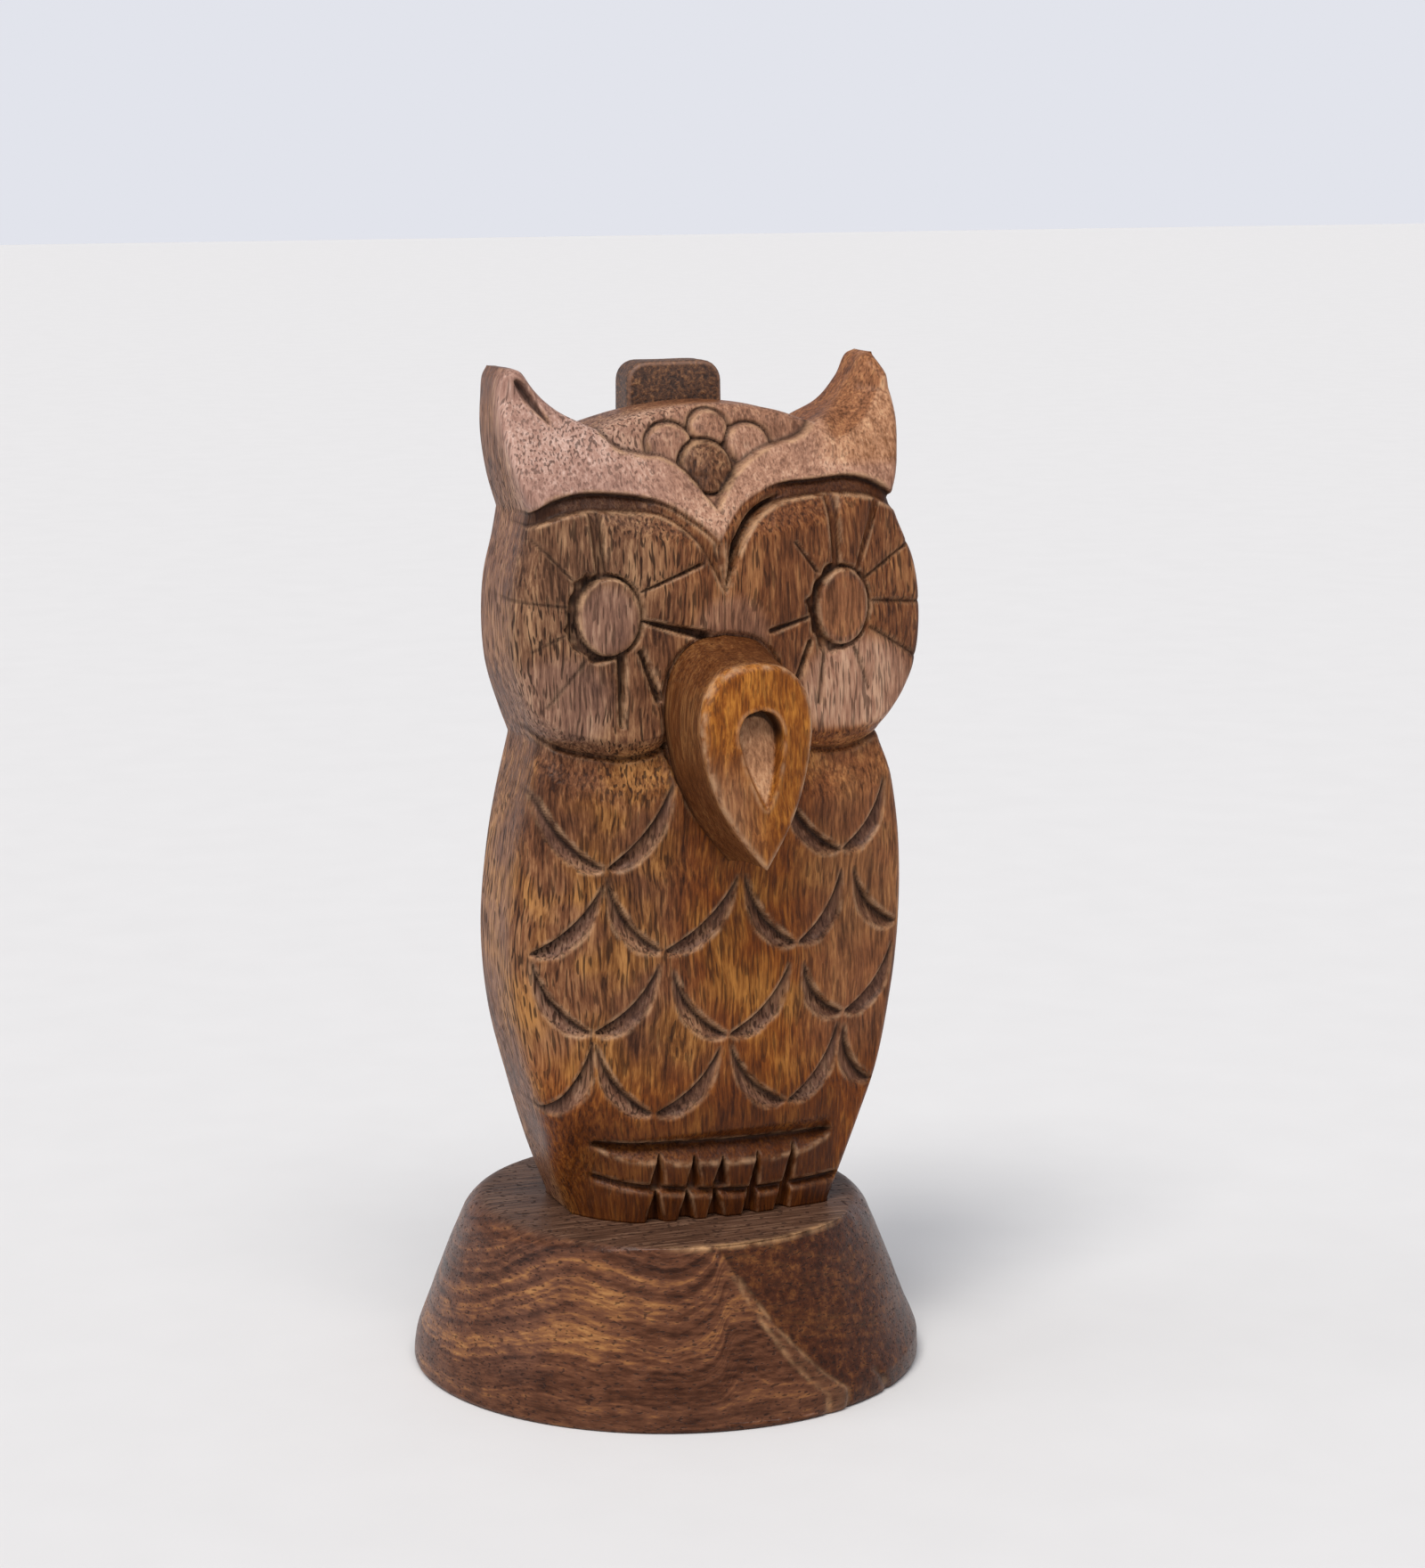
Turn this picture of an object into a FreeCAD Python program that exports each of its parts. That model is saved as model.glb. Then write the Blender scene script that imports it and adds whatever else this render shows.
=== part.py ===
import FreeCAD, Part
import math
import os

# Owl shaped eyeglasses display stand, carved in hardwood.
# Millimetres, +Z up, origin at the centre of the base's underside.
# The owl looks along -Y, so +X is on a viewer's right.

V = FreeCAD.Vector
UP = V(0, 0, 1)
BACKWARD = V(0, 1, 0)

# Base: a turned foot with a short upright rim and a sloping side
BASE_RADIUS = 39.0
BASE_TOP_RADIUS = 30.4
BASE_HEIGHT = 25.4
BASE_RIM = 3.4
BASE_EDGE_ROUND = 1.6

# Owl board: a thick plank with a convex carved front and a flat back
OWL_X = 2.7                  # the board was fixed a little off the base's axis
FRONT_Y = -18.3
BACK_Y = 5.5
FRONT_RADIUS = 86.0
FOOT_TUCK = 1.5              # the front leans in by this much at the feet
FOOT_TUCK_FROM = 45.0
EAR_TOP = 152.4

# Head: the brow slopes back to thin ears, round a sunken crown
BROW_EDGE_Z = 127.0
EAR_FACE_Z = 147.0
EAR_FACE_Y = -5.0
CROWN_SINK = 1.7
BROW_SLOT_DEPTH = 3.0
VALLEY_DEPTH = 2.2
EYES = ((-17.6, 116.2), (19.2, 116.2))
PUPIL_WIDTH = 9.8
PUPIL_HEIGHT = 11.6
PUPIL_RING = 1.3
RAY_COUNT = 11
RAY_LENGTH = 8.6
RAY_WIDTH = 0.8
EYE_CARVE_DEPTH = 1.6
CROWN_SCALES = ((-6.3, 139.9, 3.6), (6.9, 139.7, 3.4), (0.3, 142.4, 3.2), (0.2, 136.9, 4.0))
CROWN_LINE = 0.7
CROWN_LINE_DEPTH = 0.9

# Breast feathers: staggered rows of pointed scales, cut with a gouge
ROW_PITCH = 12.4
ROW_COUNT = 4
LOWEST_ROW_Z = 42.4
CARVED_HALF_WIDTH = 30.0
CARVE_BACK_Y = -6.0          # carving tools stop here; skin() sets how deep they cut
SCALE_PITCH = 19.8
SCALE_RISE = 12.2
SCALE_BULGE = 1.3
SCALE_GAP = 0.5              # the crescents of neighbouring scales stop short of each other
TIP_CROSSING = 0.4           # the two crescents of one scale cross at its tip
GOUGE_WIDTH = 1.7
GOUGE_DEPTH = 1.6

# Feet: two cross grooves and two rows of toe notches
TOE_TOP_Z = 38.4
TOE_THIN_HEIGHT = 0.4
TOE_TALL_END_Z = 37.2
TOE_TOP_HEIGHT = 2.2
TOE_MID_Z = 30.4
TOE_MID_HEIGHT = 0.9
TOE_HALF_WIDTH = 18.5
TOE_DEPTH = 1.7
TOE_PITCH = 5.1
TOE_COUNT = 5
TOE_NOTCH = 1.0
TOE_NOTCH_HEIGHT = 4.8

# Beak: a separate teardrop block that carries the spectacles' bridge
BEAK_HALF_WIDTH = 8.3
BEAK_CENTRE_Z = 102.3
BEAK_TIP_Z = 81.0
BEAK_BACK_Y = -17.6
BEAK_TOP_Y = -31.5
BEAK_TIP_Y = -34.6
HOLLOW_HALF_WIDTH = 3.3
HOLLOW_CENTRE_Z = 100.8
HOLLOW_TIP_Z = 89.6
HOLLOW_DEPTH = 3.4

# Rear brace: a strip behind the board that stands a little above the crown
BRACE_X = 3.6
BRACE_WIDTH = 15.0
BRACE_THICKNESS = 6.0
BRACE_BOTTOM_Z = 34.0
BRACE_TOP_Z = 151.2
BRACE_CORNER = 3.0

# Fasteners
BASE_SCREW = dict(shank=4.0, head=8.0, length=40.0, head_height=2.4)
BASE_SCREW_SPREAD = 11.0
BASE_SCREW_Y = -6.0
BASE_SCREW_SINK = 3.0
BRACE_SCREW = dict(shank=3.0, head=6.0, length=18.0, head_height=1.8)
BRACE_SCREW_HEIGHTS = (52.0, 86.0, 120.0)
SCREW_POINT = 3.0
SCREW_SLOT = 0.9
SLOT_DEPTH = 0.9
HOLE_CLEARANCE = 0.1
DOWEL_RADIUS = 3.0
DOWEL_LENGTH = 18.0
DOWEL_Z = 101.0
DOWEL_END_GAP = 0.5

FAR = 60.0                   # beyond every face of the owl
CLEAR = 1.0                  # how far a cutting tool starts in front of the wood


def point(x, z, y=0.0):
    return V(OWL_X + x, y, z)


def curve(points):
    """A smooth edge through (x, z) points given from the owl's own centre line."""
    spline = Part.BSplineCurve()
    spline.interpolate([point(x, z) for x, z in points])
    return spline.toShape()


def line(start, end):
    return Part.makeLine(point(*start), point(*end))


def bulging_arc(start, end, bulge):
    """Arc between two (x, z) points that stands out by bulge, to the right of its way."""
    dx = end[0] - start[0]
    dz = end[1] - start[1]
    chord = math.hypot(dx, dz)
    middle_x = (start[0] + end[0]) / 2 + bulge * dz / chord
    middle_z = (start[1] + end[1]) / 2 - bulge * dx / chord
    return Part.Arc(point(*start), point(middle_x, middle_z), point(*end)).toShape()


def prism(edges, y_from, y_to):
    """A solid with a closed outline in the XZ plane, from one depth to another."""
    face = Part.Face(Part.Wire(Part.__sortEdges__(edges)))
    face.translate(V(0, y_from, 0))
    return face.extrude(V(0, y_to - y_from, 0))


def block(x_from, x_to, y_from, y_to, z_from, z_to):
    return Part.makeBox(x_to - x_from, y_to - y_from, z_to - z_from, V(OWL_X + x_from, y_from, z_from))


def front_drum(inset):
    """The upright drum whose surface lies inset behind the carved front."""
    axis = V(OWL_X, FRONT_Y + FRONT_RADIUS, 0)
    return Part.makeCylinder(FRONT_RADIUS - inset, EAR_TOP + 10, axis, UP)


def skin(depth):
    """The layer of the front that a cut of this depth may take away."""
    return block(-FAR, FAR, FRONT_Y - 5, BACK_Y, 0, EAR_TOP).cut(front_drum(depth))


def owl_outline():
    breast = [(29.6, 80), (29.8, 68), (28.3, 56), (25.6, 45), (21.8, 34.5), (19.0, BASE_HEIGHT)]
    right_disc = [(26.2, 97.2), (29.9, 101), (33.2, 107.2), (33.9, 114), (32.6, 122), (29.6, 128.2),
                  (28.2, 131.4)]
    left_disc = [(-26.0, 97.2), (-27.6, 101.5), (-29.4, 107.5), (-30.0, 114), (-29.5, 121), (-28.0, 127),
                 (-27.0, 130.8)]
    right_ear = [(28.2, 131.4), (29.6, 137), (30.8, 144), (30.2, EAR_TOP)]
    left_ear = [(-27.0, 130.8), (-28.3, 136), (-29.0, 143), (-28.6, 150.2)]
    right_inner = [(28.4, 151.6), (25.8, 148.2), (21.6, 145.0), (16.0, 143.6)]
    left_inner = [(-26.4, 150.8), (-23.4, 147.6), (-19.4, 144.7), (-15.0, 143.4)]
    foot_left = [(-x - (2.6 if z < 40 else 0.4), z) for x, z in breast]
    edges = [curve([(26.2, 97.2), (28.2, 88)] + breast), curve([(-26.0, 97.2), (-27.8, 88)] + foot_left)]
    edges += [curve(right_disc), curve(left_disc), curve(right_ear), curve(left_ear)]
    edges += [line((30.2, EAR_TOP), (28.4, 151.6)), line((-28.6, 150.2), (-26.4, 150.8))]
    edges += [curve(right_inner), curve(left_inner), bulging_arc((16.0, 143.6), (-15.0, 143.4), 2.4)]
    edges.append(line(foot_left[-1], breast[-1]))
    return edges


def sheet_cut(points):
    """A prism across the whole width from its (y, z) outline."""
    corners = [V(-FAR, y, z) for y, z in points]
    return Part.Face(Part.makePolygon(corners + corners[:1])).extrude(V(2 * FAR, 0, 0))


def head_waste(inset):
    """What is cut away in front of the sloping brow and ears, inset deeper into the wood."""
    front = FRONT_Y - CLEAR
    top = EAR_TOP + CLEAR
    slope = [(FRONT_Y + inset, BROW_EDGE_Z), (EAR_FACE_Y + inset, EAR_FACE_Z)]
    return sheet_cut([(front, BROW_EDGE_Z)] + slope + [(EAR_FACE_Y + inset, top), (front, top)])


def owl_blank():
    """The sawn outline with its convex front, tucked in at the feet and sloped back at the ears."""
    blank = prism(owl_outline(), FRONT_Y, BACK_Y).common(front_drum(0))
    front = FRONT_Y - CLEAR
    tuck = sheet_cut([(FRONT_Y, FOOT_TUCK_FROM), (FRONT_Y + FOOT_TUCK, BASE_HEIGHT), (front, BASE_HEIGHT)])
    return blank.cut(tuck).cut(head_waste(0))


def crown_pocket():
    """The sunken forehead between the brows, down to their V."""
    left = [(-17.6, 146.4), (-13.2, 140.2), (-7.2, 138.2), (-3.2, 134.2), (0.1, 130.6)]
    right = [(0.1, 130.6), (2.8, 135.6), (7.6, 139.4), (12.4, 141.2), (16.8, 146.4)]
    edges = [curve(left), curve(right), line((16.8, 146.4), (-17.6, 146.4))]
    return prism(edges, FRONT_Y - CLEAR, BACK_Y).common(head_waste(CROWN_SINK))


def crown_rings():
    """Thin lines round the four forehead scales."""
    rings = []
    for x, z, radius in CROWN_SCALES:
        centre = point(x, z, FRONT_Y - CLEAR)
        outer = Part.makeCylinder(radius, FAR, centre, BACKWARD)
        inner = Part.makeCylinder(radius - CROWN_LINE, FAR, centre, BACKWARD)
        rings.append(outer.cut(inner).common(head_waste(CROWN_SINK + CROWN_LINE_DEPTH)))
    return rings


def brow_slots():
    """The dark hollows under the brows, above the eye discs."""
    left = [curve([(-28.8, 129.4), (-25.0, 132.4), (-16.4, 134.0), (-7.4, 132.9)]),
            curve([(-28.8, 129.4), (-24.4, 130.2), (-16.0, 131.3), (-7.4, 132.9)])]
    right = [curve([(30.0, 130.2), (26.6, 134.2), (17.0, 136.2), (5.0, 133.6)]),
             curve([(30.0, 130.2), (24.6, 131.9), (17.0, 132.9), (5.0, 133.6)])]
    slots = [prism(edges, FRONT_Y - CLEAR, BACK_Y) for edges in (left, right)]
    return [slot.common(head_waste(BROW_SLOT_DEPTH)) for slot in slots]


def brow_valley():
    """The V groove between the brows, running down to the top of the beak."""
    outer = [[(-7.4, 133.1), (-2.6, 128.4), (0.2, 119.2)], [(0.2, 119.2), (1.8, 128), (5.0, 133.6)]]
    inner = [[(5.0, 133.6), (1.4, 129.6), (0.1, 126.2)], [(0.1, 126.2), (-2.6, 130.4), (-7.4, 133.1)]]
    edges = [curve(points) for points in outer + inner]
    return prism(edges, FRONT_Y - CLEAR, FRONT_Y + VALLEY_DEPTH)


def upright_oval(width, height):
    """A prism that starts at the origin and runs back through the board."""
    squeeze = FreeCAD.Matrix()
    squeeze.scale(width / height, 1, 1)
    return Part.makeCylinder(height / 2, FAR, V(0, 0, 0), BACKWARD).transformGeometry(squeeze)


def eye_carving():
    """Ring grooves round the pupils and rays that run out from them."""
    cuts = []
    for x, z in EYES:
        ring = upright_oval(PUPIL_WIDTH + 2 * PUPIL_RING, PUPIL_HEIGHT + 2 * PUPIL_RING)
        tools = [ring.cut(upright_oval(PUPIL_WIDTH, PUPIL_HEIGHT))]
        for index in range(RAY_COUNT):
            ray = Part.makeBox(RAY_WIDTH, FAR, RAY_LENGTH, V(-RAY_WIDTH / 2, 0, PUPIL_HEIGHT / 2))
            ray.rotate(V(0, 0, 0), BACKWARD, index * 360 / RAY_COUNT)
            tools.append(ray)
        for tool in tools:
            tool.translate(point(x, z, FRONT_Y - CLEAR))
            cuts.append(tool.common(skin(EYE_CARVE_DEPTH)))
    return cuts


def breast_gouges():
    """Two crescent cuts meet in a point under each feather."""
    cuts = []
    for row in range(ROW_COUNT):
        tip_z = LOWEST_ROW_Z + row * ROW_PITCH
        offset = SCALE_PITCH / 2 if row % 2 == 0 else 0
        for column in (-2, -1, 0, 1, 2):
            tip_x = column * SCALE_PITCH + offset
            for side in (-1, 1):
                shoulder_x = tip_x + side * (SCALE_PITCH / 2 - SCALE_GAP)
                shoulder = (shoulder_x, tip_z + SCALE_RISE - SCALE_GAP)
                tip = (tip_x - side * TIP_CROSSING, tip_z - TIP_CROSSING)
                near = bulging_arc(shoulder, tip, -side * SCALE_BULGE)
                far = bulging_arc(shoulder, tip, -side * (SCALE_BULGE + GOUGE_WIDTH))
                if max(abs(shoulder_x), abs(tip_x)) < CARVED_HALF_WIDTH:
                    cuts.append(prism([near, far], FRONT_Y - CLEAR, CARVE_BACK_Y))
    return cuts


def foot_carving():
    """A wedge shaped groove above the toes, a thin one between them, and two rows of notches."""
    half = TOE_HALF_WIDTH
    thin_end = [(-half, TOE_TOP_Z + TOE_THIN_HEIGHT), (-half, TOE_TOP_Z)]
    tall_end = [(half, TOE_TALL_END_Z), (half, TOE_TALL_END_Z + TOE_TOP_HEIGHT)]
    corners = thin_end + tall_end
    top = [line(a, b) for a, b in zip(corners, corners[1:] + corners[:1])]
    cuts = [prism(top, FRONT_Y - CLEAR, CARVE_BACK_Y)]
    cuts.append(block(-half, half, FRONT_Y - CLEAR, CARVE_BACK_Y, TOE_MID_Z, TOE_MID_Z + TOE_MID_HEIGHT))
    for index in range(TOE_COUNT):
        x = (index - (TOE_COUNT - 1) / 2) * TOE_PITCH
        for z_from, z_to in ((TOE_MID_Z, TOE_MID_Z + TOE_NOTCH_HEIGHT), (BASE_HEIGHT, TOE_MID_Z)):
            notch = block(x - TOE_NOTCH / 2, x + TOE_NOTCH / 2, FRONT_Y - CLEAR, CARVE_BACK_Y, z_from, z_to)
            cuts.append(notch)
    return cuts


def beak_lean():
    return (BEAK_TIP_Y - BEAK_TOP_Y) / (BEAK_CENTRE_Z + BEAK_HALF_WIDTH - BEAK_TIP_Z)


def round_top(half, centre_z):
    """The half circle that closes a teardrop at its top."""
    crest = point(0, centre_z + half)
    return Part.Arc(point(-half, centre_z), crest, point(half, centre_z)).toShape()


def beak_block():
    """A teardrop block with a leaning front face."""
    half = BEAK_HALF_WIDTH
    top = round_top(half, BEAK_CENTRE_Z)
    left = curve([(-half, BEAK_CENTRE_Z), (-6.9, 92.4), (-3.9, 86.6), (0, BEAK_TIP_Z)])
    right = curve([(half, BEAK_CENTRE_Z), (6.9, 92.4), (3.9, 86.6), (0, BEAK_TIP_Z)])
    beak = prism([top, left, right], BEAK_BACK_Y, BEAK_TIP_Y - CLEAR)
    top_z = BEAK_CENTRE_Z + half + CLEAR
    low_z = BEAK_TIP_Z - CLEAR
    rise = CLEAR * beak_lean()
    waste = [(BEAK_TOP_Y - rise, top_z), (BEAK_TIP_Y + rise, low_z), (-FAR, low_z), (-FAR, top_z)]
    return beak.cut(sheet_cut(waste))


def beak_hollow():
    """Deepest under its round top, running out to nothing at its point."""
    half = HOLLOW_HALF_WIDTH
    top_z = HOLLOW_CENTRE_Z + half
    top = round_top(half, HOLLOW_CENTRE_Z)
    left = curve([(-half, HOLLOW_CENTRE_Z), (-2.2, 94.4), (0, HOLLOW_TIP_Z)])
    right = curve([(half, HOLLOW_CENTRE_Z), (2.2, 94.4), (0, HOLLOW_TIP_Z)])
    face_top_y = BEAK_TOP_Y + beak_lean() * (BEAK_CENTRE_Z + BEAK_HALF_WIDTH - top_z)
    face_tip_y = BEAK_TOP_Y + beak_lean() * (BEAK_CENTRE_Z + BEAK_HALF_WIDTH - HOLLOW_TIP_Z)
    floor = [(face_top_y + HOLLOW_DEPTH, top_z), (face_tip_y, HOLLOW_TIP_Z)]
    room = sheet_cut(floor + [(-FAR, HOLLOW_TIP_Z), (-FAR, top_z)])
    return prism([top, left, right], BEAK_BACK_Y, -FAR).common(room)


def make_beak():
    return beak_block().cut(beak_hollow()).cut(dowel_hole(BEAK_BACK_Y, -1))


def dowel_hole(face_y, way):
    depth = DOWEL_LENGTH / 2 + DOWEL_END_GAP
    return Part.makeCylinder(DOWEL_RADIUS, depth, point(0, DOWEL_Z, face_y), V(0, way, 0))


def make_dowel():
    front = point(0, DOWEL_Z, BEAK_BACK_Y - DOWEL_LENGTH / 2)
    return Part.makeCylinder(DOWEL_RADIUS, DOWEL_LENGTH, front, BACKWARD)


def wood_screw(size, clearance=0.0):
    """Countersunk screw along +Z, its head's top at the origin; slotted unless it is a hole."""
    head = size["head"] / 2 + clearance
    shank = size["shank"] / 2 + clearance
    tip = size["length"] + clearance
    shoulder = size["head_height"]
    profile = [V(0, 0, 0), V(head, 0, 0), V(shank, 0, shoulder)]
    profile += [V(shank, 0, tip - SCREW_POINT), V(0, 0, tip)]
    body = Part.Face(Part.makePolygon(profile + profile[:1])).revolve(V(0, 0, 0), UP, 360)
    if clearance:
        return body
    return body.cut(Part.makeBox(2 * head, SCREW_SLOT, SLOT_DEPTH, V(-head, -SCREW_SLOT / 2, 0)))


def base_screws(clearance=0.0):
    solids = []
    for side in (-1, 1):
        screw = wood_screw(BASE_SCREW, clearance)
        screw.translate(V(OWL_X + side * BASE_SCREW_SPREAD, BASE_SCREW_Y, BASE_SCREW_SINK))
        solids.append(screw)
    return solids


def brace_screws(clearance=0.0):
    solids = []
    for height in BRACE_SCREW_HEIGHTS:
        screw = wood_screw(BRACE_SCREW, clearance)
        screw.rotate(V(0, 0, 0), V(1, 0, 0), 90)
        screw.translate(V(BRACE_X, BACK_Y + BRACE_THICKNESS, height))
        solids.append(screw)
    return solids


def make_base():
    """A turned foot with its top edge eased and two screw wells in its underside."""
    profile = [V(0, 0, 0), V(BASE_RADIUS, 0, 0), V(BASE_RADIUS, 0, BASE_RIM)]
    profile += [V(BASE_TOP_RADIUS, 0, BASE_HEIGHT), V(0, 0, BASE_HEIGHT)]
    foot = Part.Face(Part.makePolygon(profile + profile[:1])).revolve(V(0, 0, 0), UP, 360)
    top_edges = [edge for edge in foot.Edges if edge.BoundBox.ZMin > BASE_HEIGHT / 2]
    foot = foot.makeFillet(BASE_EDGE_ROUND, top_edges)
    well = BASE_SCREW["head"] / 2 + HOLE_CLEARANCE
    for hole in base_screws(HOLE_CLEARANCE):
        middle = hole.BoundBox.Center
        foot = foot.cut(hole)
        foot = foot.cut(Part.makeCylinder(well, BASE_SCREW_SINK, V(middle.x, middle.y, 0), UP))
    return foot


def make_owl():
    """The carved board with its seats for the beak, the dowel and the screws."""
    owl = owl_blank()
    cuts = [crown_pocket(), brow_valley()] + crown_rings() + brow_slots() + eye_carving()
    cuts += [gouge.common(skin(GOUGE_DEPTH)) for gouge in breast_gouges()]
    cuts += [cut.common(skin(FOOT_TUCK + TOE_DEPTH)) for cut in foot_carving()]
    cuts += base_screws(HOLE_CLEARANCE) + brace_screws(HOLE_CLEARANCE)
    cuts += [beak_block(), dowel_hole(BEAK_BACK_Y, 1)]
    for cut in cuts:
        owl = owl.cut(cut)
    return owl


def make_brace():
    """A strip with rounded top corners, screwed to the owl's back."""
    corner = V(BRACE_X - BRACE_WIDTH / 2, BACK_Y, BRACE_BOTTOM_Z)
    brace = Part.makeBox(BRACE_WIDTH, BRACE_THICKNESS, BRACE_TOP_Z - BRACE_BOTTOM_Z, corner)
    top_edges = [edge for edge in brace.Edges if edge.BoundBox.ZMin > BRACE_TOP_Z - BRACE_CORNER]
    corners = [edge for edge in top_edges if edge.BoundBox.YLength > edge.BoundBox.XLength]
    brace = brace.makeFillet(BRACE_CORNER, corners)
    for hole in brace_screws(HOLE_CLEARANCE):
        brace = brace.cut(hole)
    return brace


def build():
    return {
        "base": make_base(),
        "owl_body": make_owl(),
        "beak": make_beak(),
        "rear_brace": make_brace(),
        "beak_dowel": make_dowel(),
        "base_screws": Part.makeCompound(base_screws()),
        "brace_screws": Part.makeCompound(brace_screws()),
    }


os.makedirs("parts", exist_ok=True)
for name, shape in build().items():
    shape.exportStep("parts/" + name + ".step")
    print(name, round(shape.Volume), len(shape.Solids), shape.isValid())
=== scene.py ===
import math

import bmesh
import bpy
import numpy as np
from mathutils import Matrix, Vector
from mathutils.geometry import tessellate_polygon


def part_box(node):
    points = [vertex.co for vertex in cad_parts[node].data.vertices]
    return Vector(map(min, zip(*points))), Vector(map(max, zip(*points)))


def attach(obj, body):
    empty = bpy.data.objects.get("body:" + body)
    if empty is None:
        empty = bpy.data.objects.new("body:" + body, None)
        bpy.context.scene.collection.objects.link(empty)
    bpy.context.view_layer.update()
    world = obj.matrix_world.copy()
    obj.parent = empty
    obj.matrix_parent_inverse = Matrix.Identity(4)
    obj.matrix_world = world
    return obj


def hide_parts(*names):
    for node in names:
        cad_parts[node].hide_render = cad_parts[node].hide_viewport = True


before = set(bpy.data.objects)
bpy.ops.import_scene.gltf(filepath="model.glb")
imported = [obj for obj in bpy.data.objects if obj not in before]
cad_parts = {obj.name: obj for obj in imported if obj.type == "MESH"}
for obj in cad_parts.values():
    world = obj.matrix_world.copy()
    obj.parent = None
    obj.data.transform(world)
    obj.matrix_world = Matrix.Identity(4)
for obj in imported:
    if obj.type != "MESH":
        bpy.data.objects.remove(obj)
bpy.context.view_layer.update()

# A carved wooden owl that holds spectacles on its beak. The relief is worked out in millimetres, from the
# owl's own centre line: x to a viewer's right, y back into the wood, z up. Meshes are in metres.
MM = 0.001
FAR = 1e3
ANY_REACH = 1e6
TINY = 1e-6


def box_mm(node):
    low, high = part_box(node)
    return [v / MM for v in low], [v / MM for v in high]


BASE_HIGH = box_mm("base")[1]
OWL_LOW, OWL_HIGH = box_mm("owl_body")
BEAK_LOW, BEAK_HIGH = box_mm("beak")
BRACE_LOW, BRACE_HIGH = box_mm("rear_brace")
SCREWS_LOW, SCREWS_HIGH = box_mm("base_screws")
TIES_LOW, TIES_HIGH = box_mm("brace_screws")
SCREW_HEAD = (SCREWS_HIGH[1] - SCREWS_LOW[1]) / 2
TIE_HEAD = (TIES_HIGH[0] - TIES_LOW[0]) / 2
OWL_X = (BEAK_LOW[0] + BEAK_HIGH[0]) / 2
FRONT_Y = OWL_LOW[1]
BACK_Y = OWL_HIGH[1]
BASE_TOP = BASE_HIGH[2]
BEAK_BACK_Y = BEAK_HIGH[1]

# ---- the camera of the photograph's view
CAMERA_DISTANCE = 568.2
CAMERA_HEIGHT = 192.7
CAMERA_AZIMUTH = -20.0
CAMERA_PAN = -0.709
CAMERA_PITCH = -10.404
CAMERA_LENS = 88.4
CAMERA_CLIP = 0.01


def add_camera():
    turn = math.radians(CAMERA_AZIMUTH)
    camera = bpy.data.objects.new("camera", bpy.data.cameras.new("camera"))
    camera.data.lens = CAMERA_LENS
    camera.data.clip_start = CAMERA_CLIP
    across, back = math.sin(turn) * CAMERA_DISTANCE, -math.cos(turn) * CAMERA_DISTANCE
    camera.location = (across * MM, back * MM, CAMERA_HEIGHT * MM)
    camera.rotation_euler = (math.radians(90 + CAMERA_PITCH), 0, turn + math.radians(CAMERA_PAN))
    bpy.context.scene.collection.objects.link(camera)
    bpy.context.scene.camera = camera


# ---- curves, distances and noise
def smooth(low, high, value):
    t = np.clip((value - low) / (high - low), 0, 1)
    return t * t * (3 - 2 * t)


def window(value, start, full, fading, end):
    """1 from full to fading, and 0 before start and after end."""
    return smooth(start, full, value) * (1 - smooth(fading, end, value))


def bell(value, width):
    return np.exp(-(value / width) ** 2)


def oval(x, z, centre, radii):
    """How far out each place is: 1 on an upright ellipse, less inside it."""
    return np.hypot((x - centre[0]) / radii[0], (z - centre[1]) / radii[1])


def spline(points, steps=10):
    """Points along a centripetal Catmull-Rom curve through the given ones."""
    p = np.array(points, float)
    p = np.vstack([2 * p[0] - p[1], p, 2 * p[-1] - p[-2]])
    out = []
    for a, b, c, d in zip(p[:-3], p[1:-2], p[2:-1], p[3:]):
        gaps = [max(np.linalg.norm(step), TINY) ** 0.5 for step in (b - a, c - b, d - c)]
        knots = np.cumsum([0.0] + gaps)
        t = np.linspace(knots[1], knots[2], steps, endpoint=False)[:, None]
        level = [a, b, c, d]
        for span, first in ((1, 0), (2, 0), (1, 1)):
            pairs = zip(level, level[1:], knots[first:], knots[first + span:])
            level = [(high - t) / (high - low) * start + (t - low) / (high - low) * end
                     for start, end, low, high in pairs]
        out.append(level[0])
    out.append(p[-2:-1])
    return np.vstack(out)


def chain(*curves):
    """One line of smooth curves, each starting where the one before it ends."""
    lines = [spline(curve) for curve in curves]
    return np.vstack([line[:-1] for line in lines[:-1]] + lines[-1:])


def resample(line, count, shares=((0, 0), (1, 1))):
    """count points along a polyline; shares pairs a share of the points with a share of the length."""
    steps = np.linalg.norm(np.diff(line, axis=0), axis=1)
    at = np.concatenate([[0], np.cumsum(steps)])
    wanted = at[-1] * np.interp(np.linspace(0, 1, count), *np.transpose(shares))
    return np.stack([np.interp(wanted, at, line[:, k]) for k in range(line.shape[1])], 1)


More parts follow.
